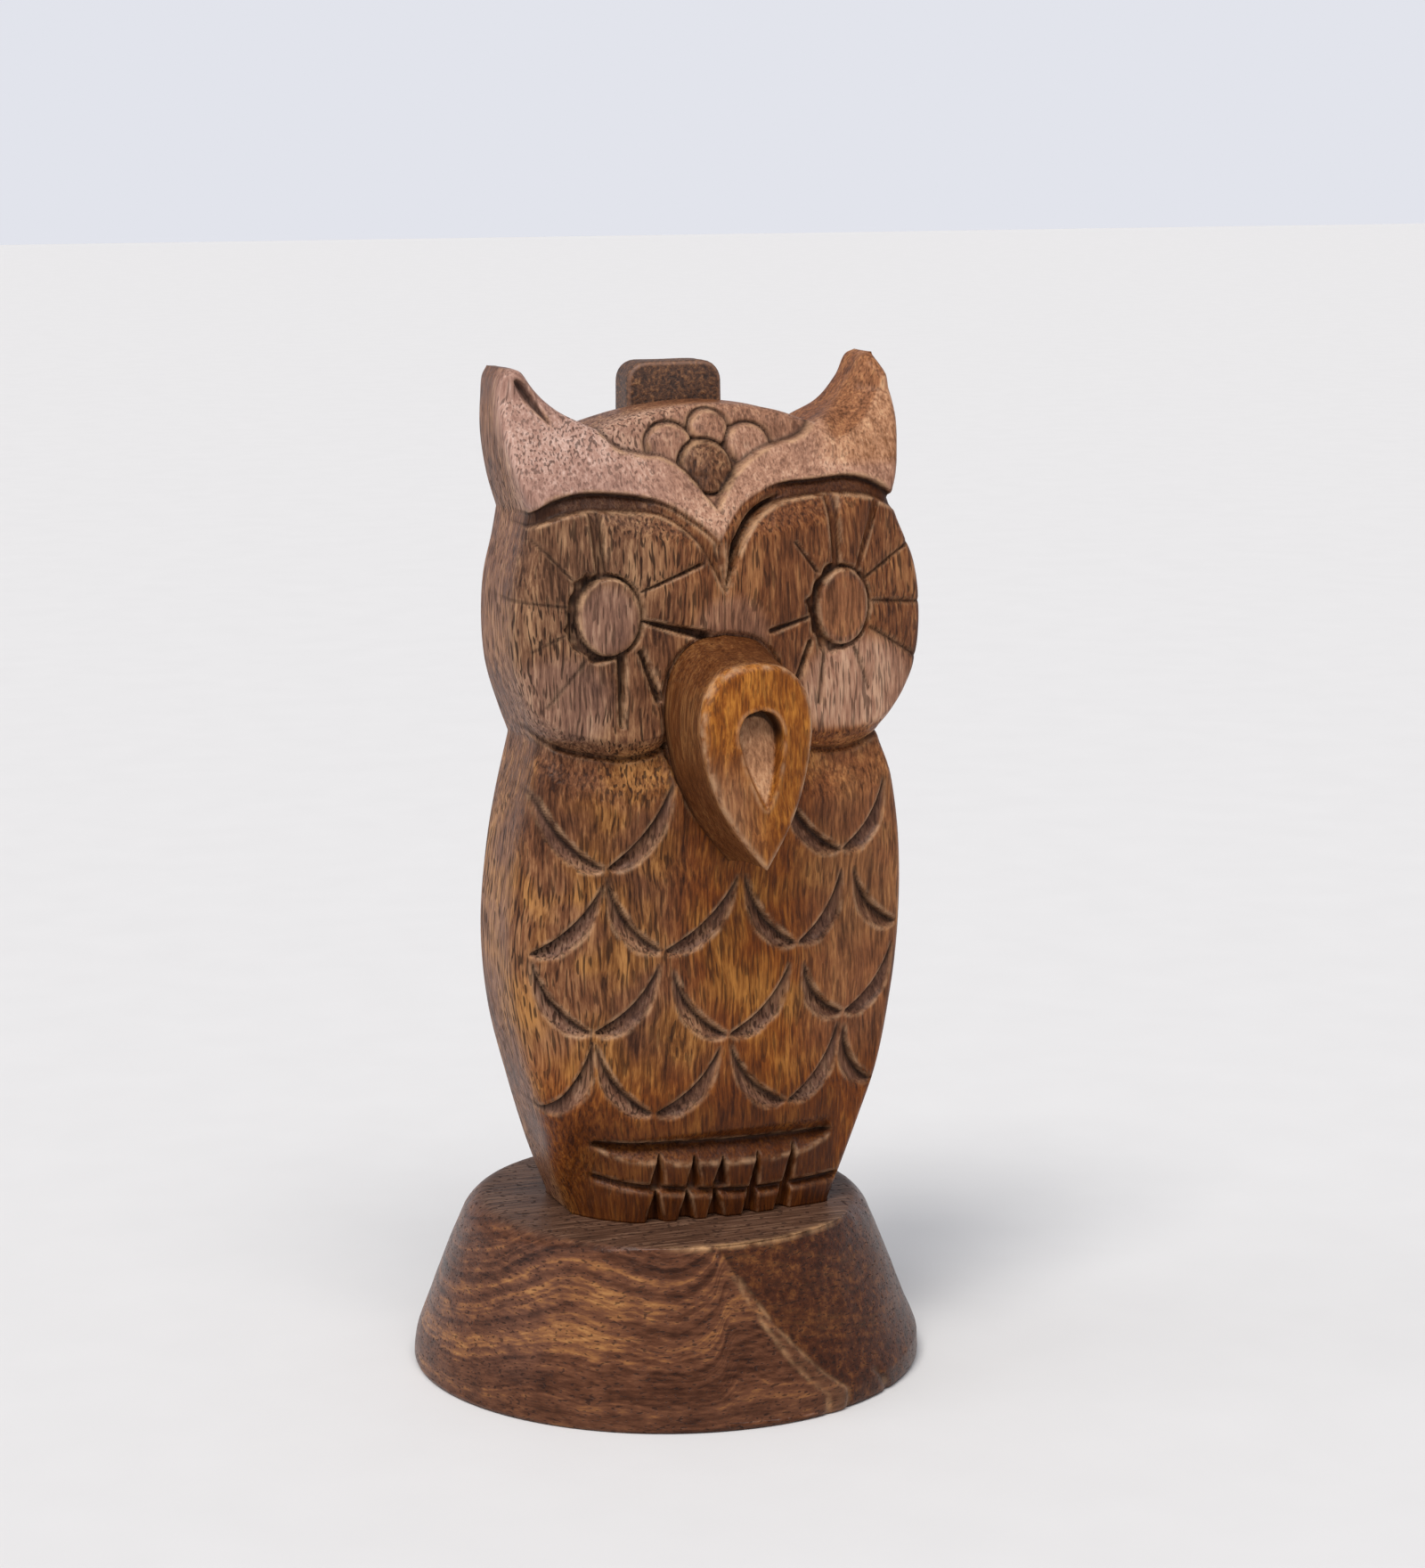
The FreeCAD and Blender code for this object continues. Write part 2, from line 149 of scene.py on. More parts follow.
def distance_to(line, x, z, reach=ANY_REACH):
    """Distance from each (x, z) to a polyline, and how far along it the nearest place is, from 0 to 1.

    Places more than reach outside the line's own box are left far away.
    """
    best = np.full(x.shape, FAR)
    along = np.zeros(x.shape)
    near = (x > line[:, 0].min() - reach) & (x < line[:, 0].max() + reach)
    near &= (z > line[:, 1].min() - reach) & (z < line[:, 1].max() + reach)
    px, pz = x[near], z[near]
    far, share = np.full(px.shape, FAR), np.zeros(px.shape)
    lengths = np.linalg.norm(np.diff(line, axis=0), axis=1)
    done = 0.0
    for (ax, az), (bx, bz), length in zip(line[:-1], line[1:], lengths):
        dx, dz = bx - ax, bz - az
        t = np.clip(((px - ax) * dx + (pz - az) * dz) / max(length * length, TINY), 0, 1)
        away = np.hypot(px - ax - t * dx, pz - az - t * dz)
        nearer = away < far
        far[nearer] = away[nearer]
        share[nearer] = np.minimum((done + t[nearer] * length) / lengths.sum(), 1.0)
        done += length
    best[near], along[near] = far, share
    return best, along


def inside(line, x, z):
    """True where (x, z) lies inside a closed polyline."""
    result = np.zeros(x.shape, bool)
    for (ax, az), (bx, bz) in zip(line, np.roll(line, -1, axis=0)):
        if az != bz:
            result ^= ((az > z) != (bz > z)) & (x < (bx - ax) * (z - az) / (bz - az) + ax)
    return result


def signed_distance(line, x, z):
    """Distance to a closed polyline, positive inside it."""
    closed = np.vstack([line, line[:1]])
    return np.where(inside(line, x, z), 1, -1) * distance_to(closed, x, z)[0]


NOISE_CELLS = 64
NOISE_START = (17.3, 9.1)


def value_noise(a, b, size_a, size_b, seed):
    """Smooth random values between -1 and 1, with cells of the given size."""
    table = np.random.default_rng(seed).uniform(-1, 1, (NOISE_CELLS, NOISE_CELLS))
    u, v = a / size_a + NOISE_START[0], b / size_b + NOISE_START[1]
    iu, iv = np.floor(u).astype(int), np.floor(v).astype(int)
    fu, fv = smooth(0, 1, u - iu), smooth(0, 1, v - iv)

    def corner(p, q):
        return table[(iu + p) % NOISE_CELLS, (iv + q) % NOISE_CELLS]

    low = corner(0, 0) * (1 - fu) + corner(1, 0) * fu
    high = corner(0, 1) * (1 - fu) + corner(1, 1) * fu
    return low * (1 - fv) + high * fv


def padded(grid, axis, before, after):
    """A grid with its border repeated along one direction."""
    pad = [(0, 0), (0, 0)]
    pad[axis] = (before, after)
    return np.pad(grid, pad, mode="edge")


def blur(grid, radius):
    """Box blur of a grid along both its directions."""
    width = 2 * radius + 1
    for axis in (0, 1):
        total = np.cumsum(padded(grid, axis, radius + 1, radius), axis=axis)
        high = np.take(total, range(width, total.shape[axis]), axis=axis)
        low = np.take(total, range(total.shape[axis] - width), axis=axis)
        grid = (high - low) / width
    return grid


def averaged(grid):
    """Every second value of a grid, each a weighted mean of the nine around it."""
    for axis in (0, 1):
        wide, n = padded(grid, axis, 1, 1), grid.shape[axis]
        grid = (np.take(wide, range(n), axis) + 2 * grid + np.take(wide, range(2, n + 2), axis)) / 4
    return grid[::2, ::2]


# ---- the owl's carved front
WALL = 0.22
FRONT_RADIUS = 86.0
FRONT_HALF = 50
FRONT_BLEND = 0.8
FOOT_TUCK = 1.5
FOOT_TUCK_Z = 45
FOOT_TAPER = 5.0
BROW_EDGE_Z = 127.0
EAR_FACE_Z = 147.0
EAR_FACE_Y = -5.0
EAR_LEAN = 0.04
EAR_CHAMFER = 3.6
DISC_TOP_Z = 136
SLOT_REACH = 4.0
SLOT_SHOULDER = 1.1
LEFT_SIDE = [(-20.4, BASE_TOP), (-23.8, 34.5), (-26.9, 45), (-29.6, 56), (-30.6, 68), (-29.6, 80),
             (-28.2, 88), (-26.0, 97.2)]
LEFT_DISC = [(-26.0, 97.2), (-27.6, 101.5), (-29.4, 107.5), (-30.0, 114), (-29.6, 121), (-28.2, 127),
             (-27.5, 130.8)]
LEFT_EAR = [(-27.5, 130.8), (-29.0, 136), (-29.9, 143), (-29.3, 149.6), (-28.4, 151.3)]
LEFT_INNER = [(-28.4, 151.3), (-26.4, 151.0), (-24.2, 148.2), (-21.2, 145.3), (-15.5, 142.4)]
RIGHT_SIDE = [(18.0, BASE_TOP), (21.9, 34.5), (26.0, 45), (28.8, 56), (30.4, 68), (30.3, 80), (29.2, 88),
              (26.9, 97.2)]
RIGHT_DISC = [(26.9, 97.2), (29.9, 101), (33.2, 107.2), (33.9, 114), (32.6, 122), (29.6, 128.2),
              (28.2, 131.4)]
RIGHT_EAR = [(28.2, 131.4), (30.2, 137.5), (31.6, 143.5), (31.2, 149.0), (29.8, 152.3)]
RIGHT_INNER = [(18.6, 142.4), (23.6, 145.4), (26.2, 148.4), (28.2, 151.6), (29.8, 152.3)]
CROWN = [(-15.5, 142.4), (-9.8, 144.2), (1.6, 145.6), (12.0, 144.6), (18.6, 142.4)]

# Brow edges, from the crown's corners down to the V, and the channels under them that end in a point
CROWN_LEFT = [(-18.6, 146.5), (-15.7, 142.6), (-13.5, 140.0), (-9.5, 138.9), (-6.6, 138.4), (-3.6, 136.4),
              (0, 131.1)]
CROWN_RIGHT = [(0, 131.1), (2.4, 134.4), (5.2, 137.0), (8.7, 139.0), (12.0, 139.9), (15.6, 141.0),
               (21.5, 146.5)]
CHANNEL_LEFT_TOP = [(-29.2, 130.4), (-25.1, 132.9), (-20.9, 133.9), (-15.4, 133.8), (-8.2, 132.4),
                    (-3.6, 129.6), (-0.5, 126.8), (0.1, 123.0), (0.2, 119.1)]
CHANNEL_LEFT_LOW = [(-29.6, 128.4), (-25.1, 130.4), (-21.4, 131.4), (-14.9, 131.3), (-8.9, 130.6),
                    (-4.4, 127.2), (-1.6, 122.8), (0.2, 119.1)]
CHANNEL_RIGHT_TOP = [(29.8, 130.9), (25.6, 134.0), (21.6, 135.1), (16.5, 134.8), (9.5, 134.2), (4.2, 131.9),
                     (1.3, 129.2), (-0.5, 126.8), (0.1, 123.0), (0.2, 119.1)]
CHANNEL_RIGHT_LOW = [(30.4, 129.0), (25.3, 131.7), (21.6, 132.5), (16.4, 132.6), (10.0, 131.9),
                     (5.8, 129.9), (2.7, 126.0), (0.2, 119.1)]
# Depths from a channel's top edge to its low one, at these shares of its width
CHANNEL_SHARES = (0, 0.24, 0.30, 0.36, 0.44, 0.60, 0.68, 1)
CHANNELS = ((CHANNEL_LEFT_TOP, CHANNEL_LEFT_LOW, (0.5, 1.3, 0.7, 0.7, 1.0, 1.2, 1.3, 1.5)),
            (CHANNEL_RIGHT_TOP, CHANNEL_RIGHT_LOW, (0.4, 0.5, 0.6, 0.7, 0.9, 1.3, 2.6, 2.9)))
CROWN_SINK = 1.5
# (centre, radii) of each scale; the first is the lowest and lies over the others
CROWN_SCALES = (((0.1, 136.9), (4.2, 3.9)), ((-4.9, 140.0), (3.8, 3.3)), ((7.4, 139.7), (3.6, 3.2)),
                ((1.6, 142.2), (3.2, 2.8)))
HIGH_SCALE = ((7.4, 139.7), (3.4, 3.4))
EAR_GROOVE_LEFT = [(-27.2, 149.8), (-25.7, 147.6), (-23.0, 143.6)]

# Eyes: centre of each pupil, then every ray as (from, to, width at from, width at to, depth)
LEFT_EYE = (-17.1, 116.4)
RIGHT_EYE = (19.4, 116.2)
PUPIL = (4.45, 5.6)
PUPIL_RADIUS = 5.1
PUPIL_FACET = ((-17.6, 116.8), (2.4, 3.6))
RAYS = (((-19.0, 131.6), (-18.2, 122.4), 1.8, 1.3, 1.1), ((-27.6, 127.6), (-22.2, 121.8), 0.4, 0.5, 0.5),
        ((-30.6, 118.8), (-22.9, 117.9), 0.4, 0.5, 0.45), ((-28.0, 111.4), (-23.3, 113.9), 0.4, 0.5, 0.45),
        ((-25.9, 103.3), (-20.0, 110.8), 0.4, 0.5, 0.5), ((-15.4, 110.6), (-15.4, 100.4), 1.2, 0.5, 1.6),
        ((-12.6, 111.2), (-10.0, 104.0), 0.8, 0.9, 1.6), ((-12.4, 115.7), (-2.9, 113.2), 0.5, 1.5, 1.6),
        ((-12.6, 119.9), (-3.7, 123.6), 0.4, 0.7, 0.9),
        ((17.7, 132.6), (18.2, 122.2), 1.8, 1.2, 1.1), ((25.1, 131.0), (21.9, 121.6), 1.3, 0.9, 0.9),
        ((31.8, 125.1), (23.4, 120.3), 0.5, 0.6, 0.7), ((35.2, 115.6), (24.5, 116.7), 0.5, 0.6, 0.7),
        ((33.8, 107.2), (24.2, 112.8), 0.5, 0.6, 0.7), ((24.0, 103.6), (21.4, 110.0), 0.4, 0.6, 0.7),
        ((16.4, 110.6), (15.4, 102.2), 0.6, 0.6, 0.9), ((13.8, 111.4), (11.0, 104.4), 0.7, 0.8, 1.2),
        ((14.2, 115.2), (7.4, 113.4), 0.5, 0.9, 0.9), ((11.2, 126.2), (14.9, 121.6), 0.4, 0.6, 0.8))
# Painted shade in the rays: PLAIN_RAY_DARK for a ray wider than WIDE_RAY and shallower than DEEP_RAY,
# RAY_DARK for the rest.
WIDE_RAY = 1.25
DEEP_RAY = 1.3
RAY_DARK = 0.95
PLAIN_RAY_DARK = 0.35
DISC_LOW_LEFT = [(-28.0, 103.2), (-24.4, 100.2), (-19.0, 98.7), (-13.6, 98.1), (-9.0, 99.3), (-6.2, 101.8)]
DISC_LOW_RIGHT = [(8.6, 101.6), (12.0, 98.9), (17.0, 97.6), (22.4, 97.8), (27.4, 99.6), (31.0, 102.6)]
RIM_BEVEL = 2.7
RIM_STEP = 2.4
RIM_FADE = 8

# Breast feathers: left shoulder, tip and right shoulder of each; None where the side of the board ends it
FEATHERS = (((-27.8, 91.8), (-17.8, 79.4), (-7.6, 93.2)), ((9.2, 91.6), (19.3, 79.8), (27.0, 90.4)),
            ((-17.7, 78.8), (-9.4, 66.8), (2.2, 78.2)), ((3.0, 78.2), (11.8, 66.4), (19.2, 77.4)),
            (None, (-28.8, 67.0), (-18.1, 77.8)), ((21.4, 77.4), (29.6, 67.6), None),
            ((-28.3, 66.6), (-19.8, 55.0), (-10.0, 65.4)), ((-8.0, 64.6), (0.6, 53.5), (10.6, 64.2)),
            ((12.9, 64.0), (19.8, 54.9), (28.6, 65.0)), ((-19.3, 53.9), (-10.8, 42.3), (-0.6, 52.4)),
            ((0.9, 52.6), (10.1, 42.5), (18.9, 54.0)), (None, (-27.2, 43.0), (-19.9, 54.2)),
            ((20.1, 53.6), (25.2, 43.6), None))
SCALE_BULGE = 1.6
GOUGE_WIDTH = 2.0
GOUGE_DEPTH = 1.9

# Feet
TOE_LINE_DEPTH = 1.3
NOTCH_DEPTH = 2.0
TOE_CUT_TOP = [(-19.6, 38.4), (-8.0, 39.0), (4.0, 39.2), (18.0, 39.4)]
TOE_LEDGE_TOP = [(-19.6, 38.0), (-8.0, 37.6), (4.0, 37.1), (17.8, 36.9)]
TOE_LEDGE_LOW = [(-19.2, 37.1), (-14.7, 35.4), (-8.0, 34.5), (0.0, 34.0), (8.0, 33.9), (13.0, 34.3),
                 (17.8, 36.0)]
TOE_LINE = [(-18.8, 32.7), (-15.4, 31.8), (-7.9, 30.8), (-2.1, 30.1), (4.1, 29.6), (11.1, 29.6),
            (19.6, 30.1)]
# (top x, top z, bottom x, bottom z, width at the bottom) of the notches between the toes
NOTCHES = ((-9.6, 35.8, -10.1, 30.9, 1.9), (-4.2, 35.2, -4.5, 30.6, 2.0), (0.2, 34.5, -0.3, 30.5, 1.9),
           (5.9, 34.9, 4.4, 25.4, 1.9), (12.0, 35.7, 9.8, 25.4, 2.0), (-10.1, 30.2, -10.3, 25.4, 2.4),
           (-5.3, 29.8, -5.5, 25.4, 2.3), (-0.8, 29.8, -1.0, 25.4, 2.3))

# (centre, radii, amount) of paler places on the eye discs
PALE_PATCHES = (((22, 104), (12, 9), 0.8), ((1, 113), (7, 7), 0.35), ((-17.5, 116), (5, 6), 0.3),
                ((19.4, 116), (5, 6), 0.35), ((-24, 104), (9, 8), 0.25))


def blank_front(x, z):
    """The board's front before carving: convex, tucked in at the feet, sloping back above the brows."""
    drum = FRONT_Y + FRONT_RADIUS - np.sqrt(FRONT_RADIUS ** 2 - np.minimum(np.abs(x), FRONT_HALF) ** 2)
    drum = drum + FOOT_TUCK * np.clip((FOOT_TUCK_Z - z) / (FOOT_TUCK_Z - BASE_TOP), 0, 1)
    slope = FRONT_Y + (z - BROW_EDGE_Z) / (EAR_FACE_Z - BROW_EDGE_Z) * (EAR_FACE_Y - FRONT_Y)
    slope = np.minimum(slope, EAR_FACE_Y + EAR_LEAN * (z - EAR_FACE_Z))
    return 0.5 * (drum + slope + np.sqrt((drum - slope) ** 2 + FRONT_BLEND ** 2))


def slot(start, end, width_a, width_b, depth, x, z):
    """A straight cut with a flat floor and steep walls, and a bell shape over its shoulders."""
    off, along = distance_to(np.array([start, end], float), x, z, SLOT_REACH)
    half = (width_a + (width_b - width_a) * along) / 2 + WALL
    return depth * (1 - smooth(half - 2 * WALL, half, off)), bell(off, SLOT_SHOULDER)


def crown_relief(x, z):
    """Sunken forehead with four scales: its depth, and how dark its lines of painted shade are."""
    left, right = spline(CROWN_LEFT), spline(CROWN_RIGHT)
    away = signed_distance(np.vstack([left, right[1:]]), x, z)
    brow = distance_to(np.vstack([left[8:], right[1:-8]]), x, z)[0]
    depth = CROWN_SINK * smooth(-WALL, WALL, away) * (0.5 + 0.5 * bell(brow, 2.2))
    taken = away < 0
    lines = np.zeros(x.shape)
    for centre, radii in CROWN_SCALES:
        reach = oval(x, z, centre, radii)
        ring = (reach - 1) * sum(radii) / 2
        line = np.where(taken, 0, bell(ring, 0.27))
        dome = 0.30 - 0.42 * np.clip(1 - reach ** 4, 0, 1) - 0.12 * (z - centre[1]) / radii[1] * (reach < 1)
        rest = np.where(reach < 1, dome, 0.30 * np.exp(-np.maximum(ring, 0) / 0.7))
        depth = depth + 0.9 * line + np.where(taken, 0, rest)
        lines = np.maximum(lines, line)
        taken = taken | (reach < 1.0)
    edge = bell(away - 0.3, 0.3) * (0.25 + 0.5 * smooth(0, 3, np.abs(x + 3) - 4))
    return depth, np.maximum(lines, edge)


def channel_relief(x, z):
    """Channels under the brows, which meet in a point above the beak, and a ridge in the left one,
    lightened as worn wood and painted highlight.
    """
    depth, ridge = np.zeros(x.shape), np.zeros(x.shape)
    inner = 1 - smooth(7, 12, np.abs(x))
    for top, low, floors in CHANNELS:
        upper, lower = spline(top), spline(low)
        away = signed_distance(np.vstack([upper, lower[::-1]]), x, z)
        to_top, to_low = distance_to(upper, x, z)[0], distance_to(lower, x, z)[0]
        share = to_top / (to_top + to_low + TINY)
        floor = inner * np.interp(share, CHANNEL_SHARES, floors) + (1 - inner) * (1.6 - 0.3 * share)
        depth = np.maximum(depth, floor * smooth(-WALL, WALL * 0.8, away))
        ridge = np.maximum(ridge, inner * (away > 0) * bell(share - 0.33, 0.07))
    return depth, ridge * (x < 0.5)


def pupil_relief(x, z, eye):
    """A domed pupil in a rough ring groove, wider to a viewer's left: depth, and how dark the groove's
    painted shade is.
    """
    reach = oval(x, z, eye, PUPIL)
    gap = (reach - 1) * PUPIL_RADIUS
    outer = smooth(-1, 4, eye[0] - x) * (1.0 + 0.8 * value_noise(x, z, 1.0, 1.4, 11))
    ring = window(gap, -0.15, 0.2, 0.3 + 0.8 * outer, 0.7 + 1.2 * outer)
    groove = (0.9 + 0.3 * value_noise(x, z, 0.8, 0.8, 12)) * ring + 0.3 * bell(gap, 2.2) * (gap > 0)
    dark = ring * (0.75 + 0.25 * value_noise(x, z, 0.7, 0.9, 13))
    return groove, 0.7 * np.clip(1 - reach ** 2, 0, 1) ** 0.7, dark


def eye_relief(x, z):
    """Both pupils, with rays out to the rim of each disc: depth, and how dark their painted shade is."""
    depth, dark = np.zeros(x.shape), np.zeros(x.shape)
    for eye in (LEFT_EYE, RIGHT_EYE):
        groove, dome, shade = pupil_relief(x, z, eye)
        depth += groove
        dark = np.maximum(dark, shade)
        depth -= dome
    depth -= 0.34 * (1 - smooth(0.88, 1.0, oval(x, z, *PUPIL_FACET))) - 0.10
    for start, end, width_a, width_b, deep in RAYS:
        cut, shoulder = slot(start, end, width_a, width_b, deep, x, z)
        depth = np.maximum(depth, cut) + 0.20 * shoulder * (cut < 0.1)
        shade = PLAIN_RAY_DARK if max(width_a, width_b) > WIDE_RAY and deep < DEEP_RAY else RAY_DARK
        dark = np.maximum(dark, shade * np.clip(cut / deep * 1.2 - 0.2, 0, 1))
    return depth, dark


def rim_relief(x, z):
    """Chamfered lower rims of the eye discs and the breast set back under them."""
    depth = np.zeros(x.shape)
    for line in (DISC_LOW_LEFT, DISC_LOW_RIGHT):
        curve = spline(line)
        below = np.interp(x, curve[:, 0], curve[:, 1]) - z
        start, end = curve[:, 0].min(), curve[:, 0].max()
        span = window(x, start - 2.5, start + 0.5, end - 0.5, end + 2.5)
        chamfer = RIM_STEP * np.clip((below + 0.2) / RIM_BEVEL, 0, 1) ** 1.2
        back = 1 - smooth(RIM_BEVEL, RIM_BEVEL + RIM_FADE, below)
        under = 0.9 * bell(below - RIM_BEVEL - 0.1, 0.42)
        depth = np.maximum(depth, span * (chamfer * np.where(below > RIM_BEVEL, back, 1) + under))
    return depth


def feather_relief(x, z):
    """Crescent cuts: upright along the feather's edge, running out to the surface below it."""
    depth, line = np.zeros(x.shape), np.zeros(x.shape)
    cuts = [(shoulder, tip, side) for left, tip, right in FEATHERS
            for shoulder, side in ((left, -1), (right, 1)) if shoulder]
    for (sx, sz), (tx, tz), side in cuts:
        length = math.hypot(tx - sx, tz - sz)
        ax, az = (tx - sx) / length, (tz - sz) / length
        t = ((x - sx) * ax + (z - sz) * az) / length
        out = ((x - sx) * az - (z - sz) * ax) * -side
        bow = np.clip(4 * t * (1 - t), 0, 1)
        late = np.clip(1.6 * np.clip(t, 0, 1) ** 0.7 * bow ** 0.6, 0, 1)
        width = GOUGE_WIDTH * late + 0.35
        share = (out - SCALE_BULGE * bow) / width
        walls = window(share, -0.15, 0.08, 1 - 0.25 / width, 1) * (bow > 0)
        floor = 0.30 + 0.70 * np.clip(1 - share, 0, 1)
        depth = np.maximum(depth, GOUGE_DEPTH * (0.2 + 0.8 * late) * floor * walls * smooth(0, 0.12, bow))
        # Painted shadow along the cut's upright wall.
        line = np.maximum(line, bell(share * width - 0.2, 0.32) * smooth(0.05, 0.4, bow))
    return depth, line


def foot_relief(x, z):
    """A wedge cut in under the belly, a line across the toes, and two rows of pointed notches."""
    curves = [spline(c) for c in (TOE_CUT_TOP, TOE_LEDGE_TOP, TOE_LEDGE_LOW, TOE_LINE)]
    cut_z, top_z, low_z, line_z = (np.interp(x, c[:, 0], c[:, 1]) for c in curves)
    span = window(x, -20.0, -18.4, 17.0, 18.4)
    upper = np.clip((cut_z - z) / (cut_z - top_z), 0, 1) * (z > top_z)
    ledge = np.clip((z - low_z) / (top_z - low_z), 0, 1) * (z <= top_z)
    depth = span * (1.5 * upper ** 1.3 * smooth(-20, 5, x) + 2.7 * ledge)
    # dark is painted shadow under the ledge; edge is a lighter line along its lower edge, as worn wood and
    # painted highlight.
    dark = span * bell(z - top_z - 0.1, 0.4)
    edge = span * bell(z - low_z + 0.1, 0.35)
    ends = window(x, -19.4, -18.0, 18.6, 19.8)
    depth += ends * TOE_LINE_DEPTH * smooth(-0.2, 0.15, line_z - z) * (1 - smooth(0.2, 1.5, line_z - z))
    for top_x, start, low_x, end, width in NOTCHES:
        fall = (start - z) / (start - end)
        half = 0.62 * width * np.clip(fall, 0, 1) ** 0.7 + 0.1
        wedge = np.clip(1 - np.abs(x - top_x - (low_x - top_x) * fall) / half, 0, 1)
        depth = np.maximum(depth, (fall > 0) * (fall < 1.1) * NOTCH_DEPTH * np.clip(wedge * 1.5, 0, 1))
        edge *= wedge < 0.1
    return depth, dark, edge


def beak_seat_relief(x, z):
    """A narrow cut where the face meets the root of the beak."""
    seat = beak_outline(BEAK_SWELL, 160) + [0, BEAK_LIFT]
    off = distance_to(np.vstack([seat, seat[:1]]), x, z, 3.0)[0]
    return 0.8 * bell(off, 0.4) * smooth(84, 88, z)


def ear_relief(x, z):
    """The groove in the left ear, and the chamfer along the right one's inner edge."""
    off, along = distance_to(spline(EAR_GROOVE_LEFT), x, z, 3.0)
    groove = np.clip(1.3 - 1.3 * off / (0.15 + 0.8 * np.sin(math.pi * along ** 0.6)), 0, 1)
    inner_edge = distance_to(spline(RIGHT_INNER), x, z, 5.0)[0]
    return groove, np.clip(EAR_CHAMFER - inner_edge, 0, EAR_CHAMFER) * smooth(19, 24, x)


def front_relief(x, z):
    """Depth of all carving below the blank, and what the colours need to know of it."""
    channel, ridge = channel_relief(x, z)
    crown, crown_lines = crown_relief(x, z)
    eyes, eye_lines = eye_relief(x, z)
    rim = rim_relief(x, z)
    feathers, feather_lines = feather_relief(x, z)
    feet, foot_line, foot_edge = foot_relief(x, z)
    groove, chamfer = ear_relief(x, z)
    on_disc = (channel < 0.4) & (rim < 0.5) & (z < DISC_TOP_Z)
    depth = np.maximum.reduce((channel, crown, rim, feathers))
    depth = np.where(on_disc, depth + eyes, np.maximum(depth, eyes * 0.5))
    depth += feet + beak_seat_relief(x, z)
    depth += FOOT_TAPER * smooth(-12, -21.5, x) * smooth(46, 28, z)
    depth += 1.3 * groove
    depth += 0.8 * chamfer
    depth += 0.18 * value_noise(x, z, 6.0, 11.0, 3) + 0.06 * value_noise(x, z, 1.5, 5.0, 4)
    # The cut lines are painted shade along the crown's scales, the ear groove, the pupils and rays, the
    # deepest channel floors, the feathers' walls and under the toe ledge.
    lines = (crown_lines, groove, on_disc * eye_lines, smooth(2.0, 2.6, channel), feather_lines, foot_line)
    seen = {"channel": channel, "crown": crown, "feathers": feathers, "chamfer": chamfer,
            "cut": np.maximum.reduce(lines), "ridge": np.maximum(ridge, 0.8 * foot_edge)}
    return depth, seen


def rounded_edge(x, z, edge_distance):
    """Radius of the board's rounded front edge, larger on the left below the brow, and its arc's height."""
    corner = 1.2 + 2.2 * smooth(5, -10, x) * (1 - smooth(126, 134, z))
    corner = corner + 0.25 * value_noise(x, z, 9.0, 15.0, 5)
    near = np.clip(corner - edge_distance, 0, corner)
    return corner, np.sqrt(np.maximum(corner ** 2 - near ** 2, 0))


def pale_wood(x, z, seen, dim):
    """Where the wood is paler: brows and crown, parts of the eye discs, the right flank."""
    brow_low = np.vstack([spline(CHANNEL_LEFT_TOP[:-2]), spline(CHANNEL_RIGHT_TOP[:-2])[::-1]])
    pale = smooth(-0.1, 0.3, z - np.interp(x, brow_low[:, 0], brow_low[:, 1]))
    off_scale = smooth(0.95, 1.05, oval(x, z, *HIGH_SCALE))
    pale *= 1 - 0.8 * dim - 0.4 * (seen["crown"] > 0.5) * off_scale
    for centre, radii, amount in PALE_PATCHES:
        patch = 1 - smooth(0.6, 1.0, oval(x, z, centre, radii))
        pale = np.maximum(pale, amount * patch * smooth(97.5, 99, z))
    pale = np.maximum(pale, 0.25 * smooth(8, 20, x) * smooth(98, 96, z) * smooth(44, 54, z))
    return pale * (1 - 0.6 * smooth(0, 0.4, seen["chamfer"]))


def warm_wood(x, z, dim):
    """Where the colour is more golden: to the right, cooler to the left, partly the wood's own colour and
    partly painted cool light from the left; down the breast, the right ear and the right pupil.
    """
    warm = smooth(-20, 4, x + 5 * value_noise(x, z, 12, 18, 61)) * (1 - 0.45 * smooth(96, 100, z))
    warm = np.maximum(warm, smooth(98, 94, z) * (0.35 + 0.6 * smooth(56, 44, z)))
    warm = np.maximum(warm, smooth(8, 24, x) * smooth(134, 138, z)) * (1 - 0.8 * dim)
    pupil = np.hypot(x - RIGHT_EYE[0], 0.85 * (z - RIGHT_EYE[1]))
    return np.maximum(warm, 1 - smooth(3.5, 4.5, pupil))


def front_colours(x, z, seen):
    """The front's colour values: painted shadow on the channel floors under the brows and painted shade on
    the lower belly; the gouges' floors are paler, cooler and duller.
    """
    dim = 1 - smooth(0.95, 1.05, oval(x, z, *CROWN_SCALES[0]))
    floor = smooth(0.2, 0.5, seen["feathers"])
    belly = smooth(49, 36, z) * smooth(-25, -18, x) * (1 - smooth(17, 21, x))
    # Painted shadow cast by the brows on the channel floors, most to the sides, and painted shade on the
    # lower belly.
    dull = smooth(0.5, 0.9, seen["channel"]) * (0.15 + 0.8 * smooth(8, 13, np.abs(x))) + 0.8 * belly
    return {"pale": np.maximum(pale_wood(x, z, seen, dim), 0.3 * floor),
            "warm": warm_wood(x, z, dim) * (1 - 0.8 * floor),
            "dull": np.maximum(dull, 0.3 * floor),
            "honey": smooth(99, 93, z) * (1 - belly)}


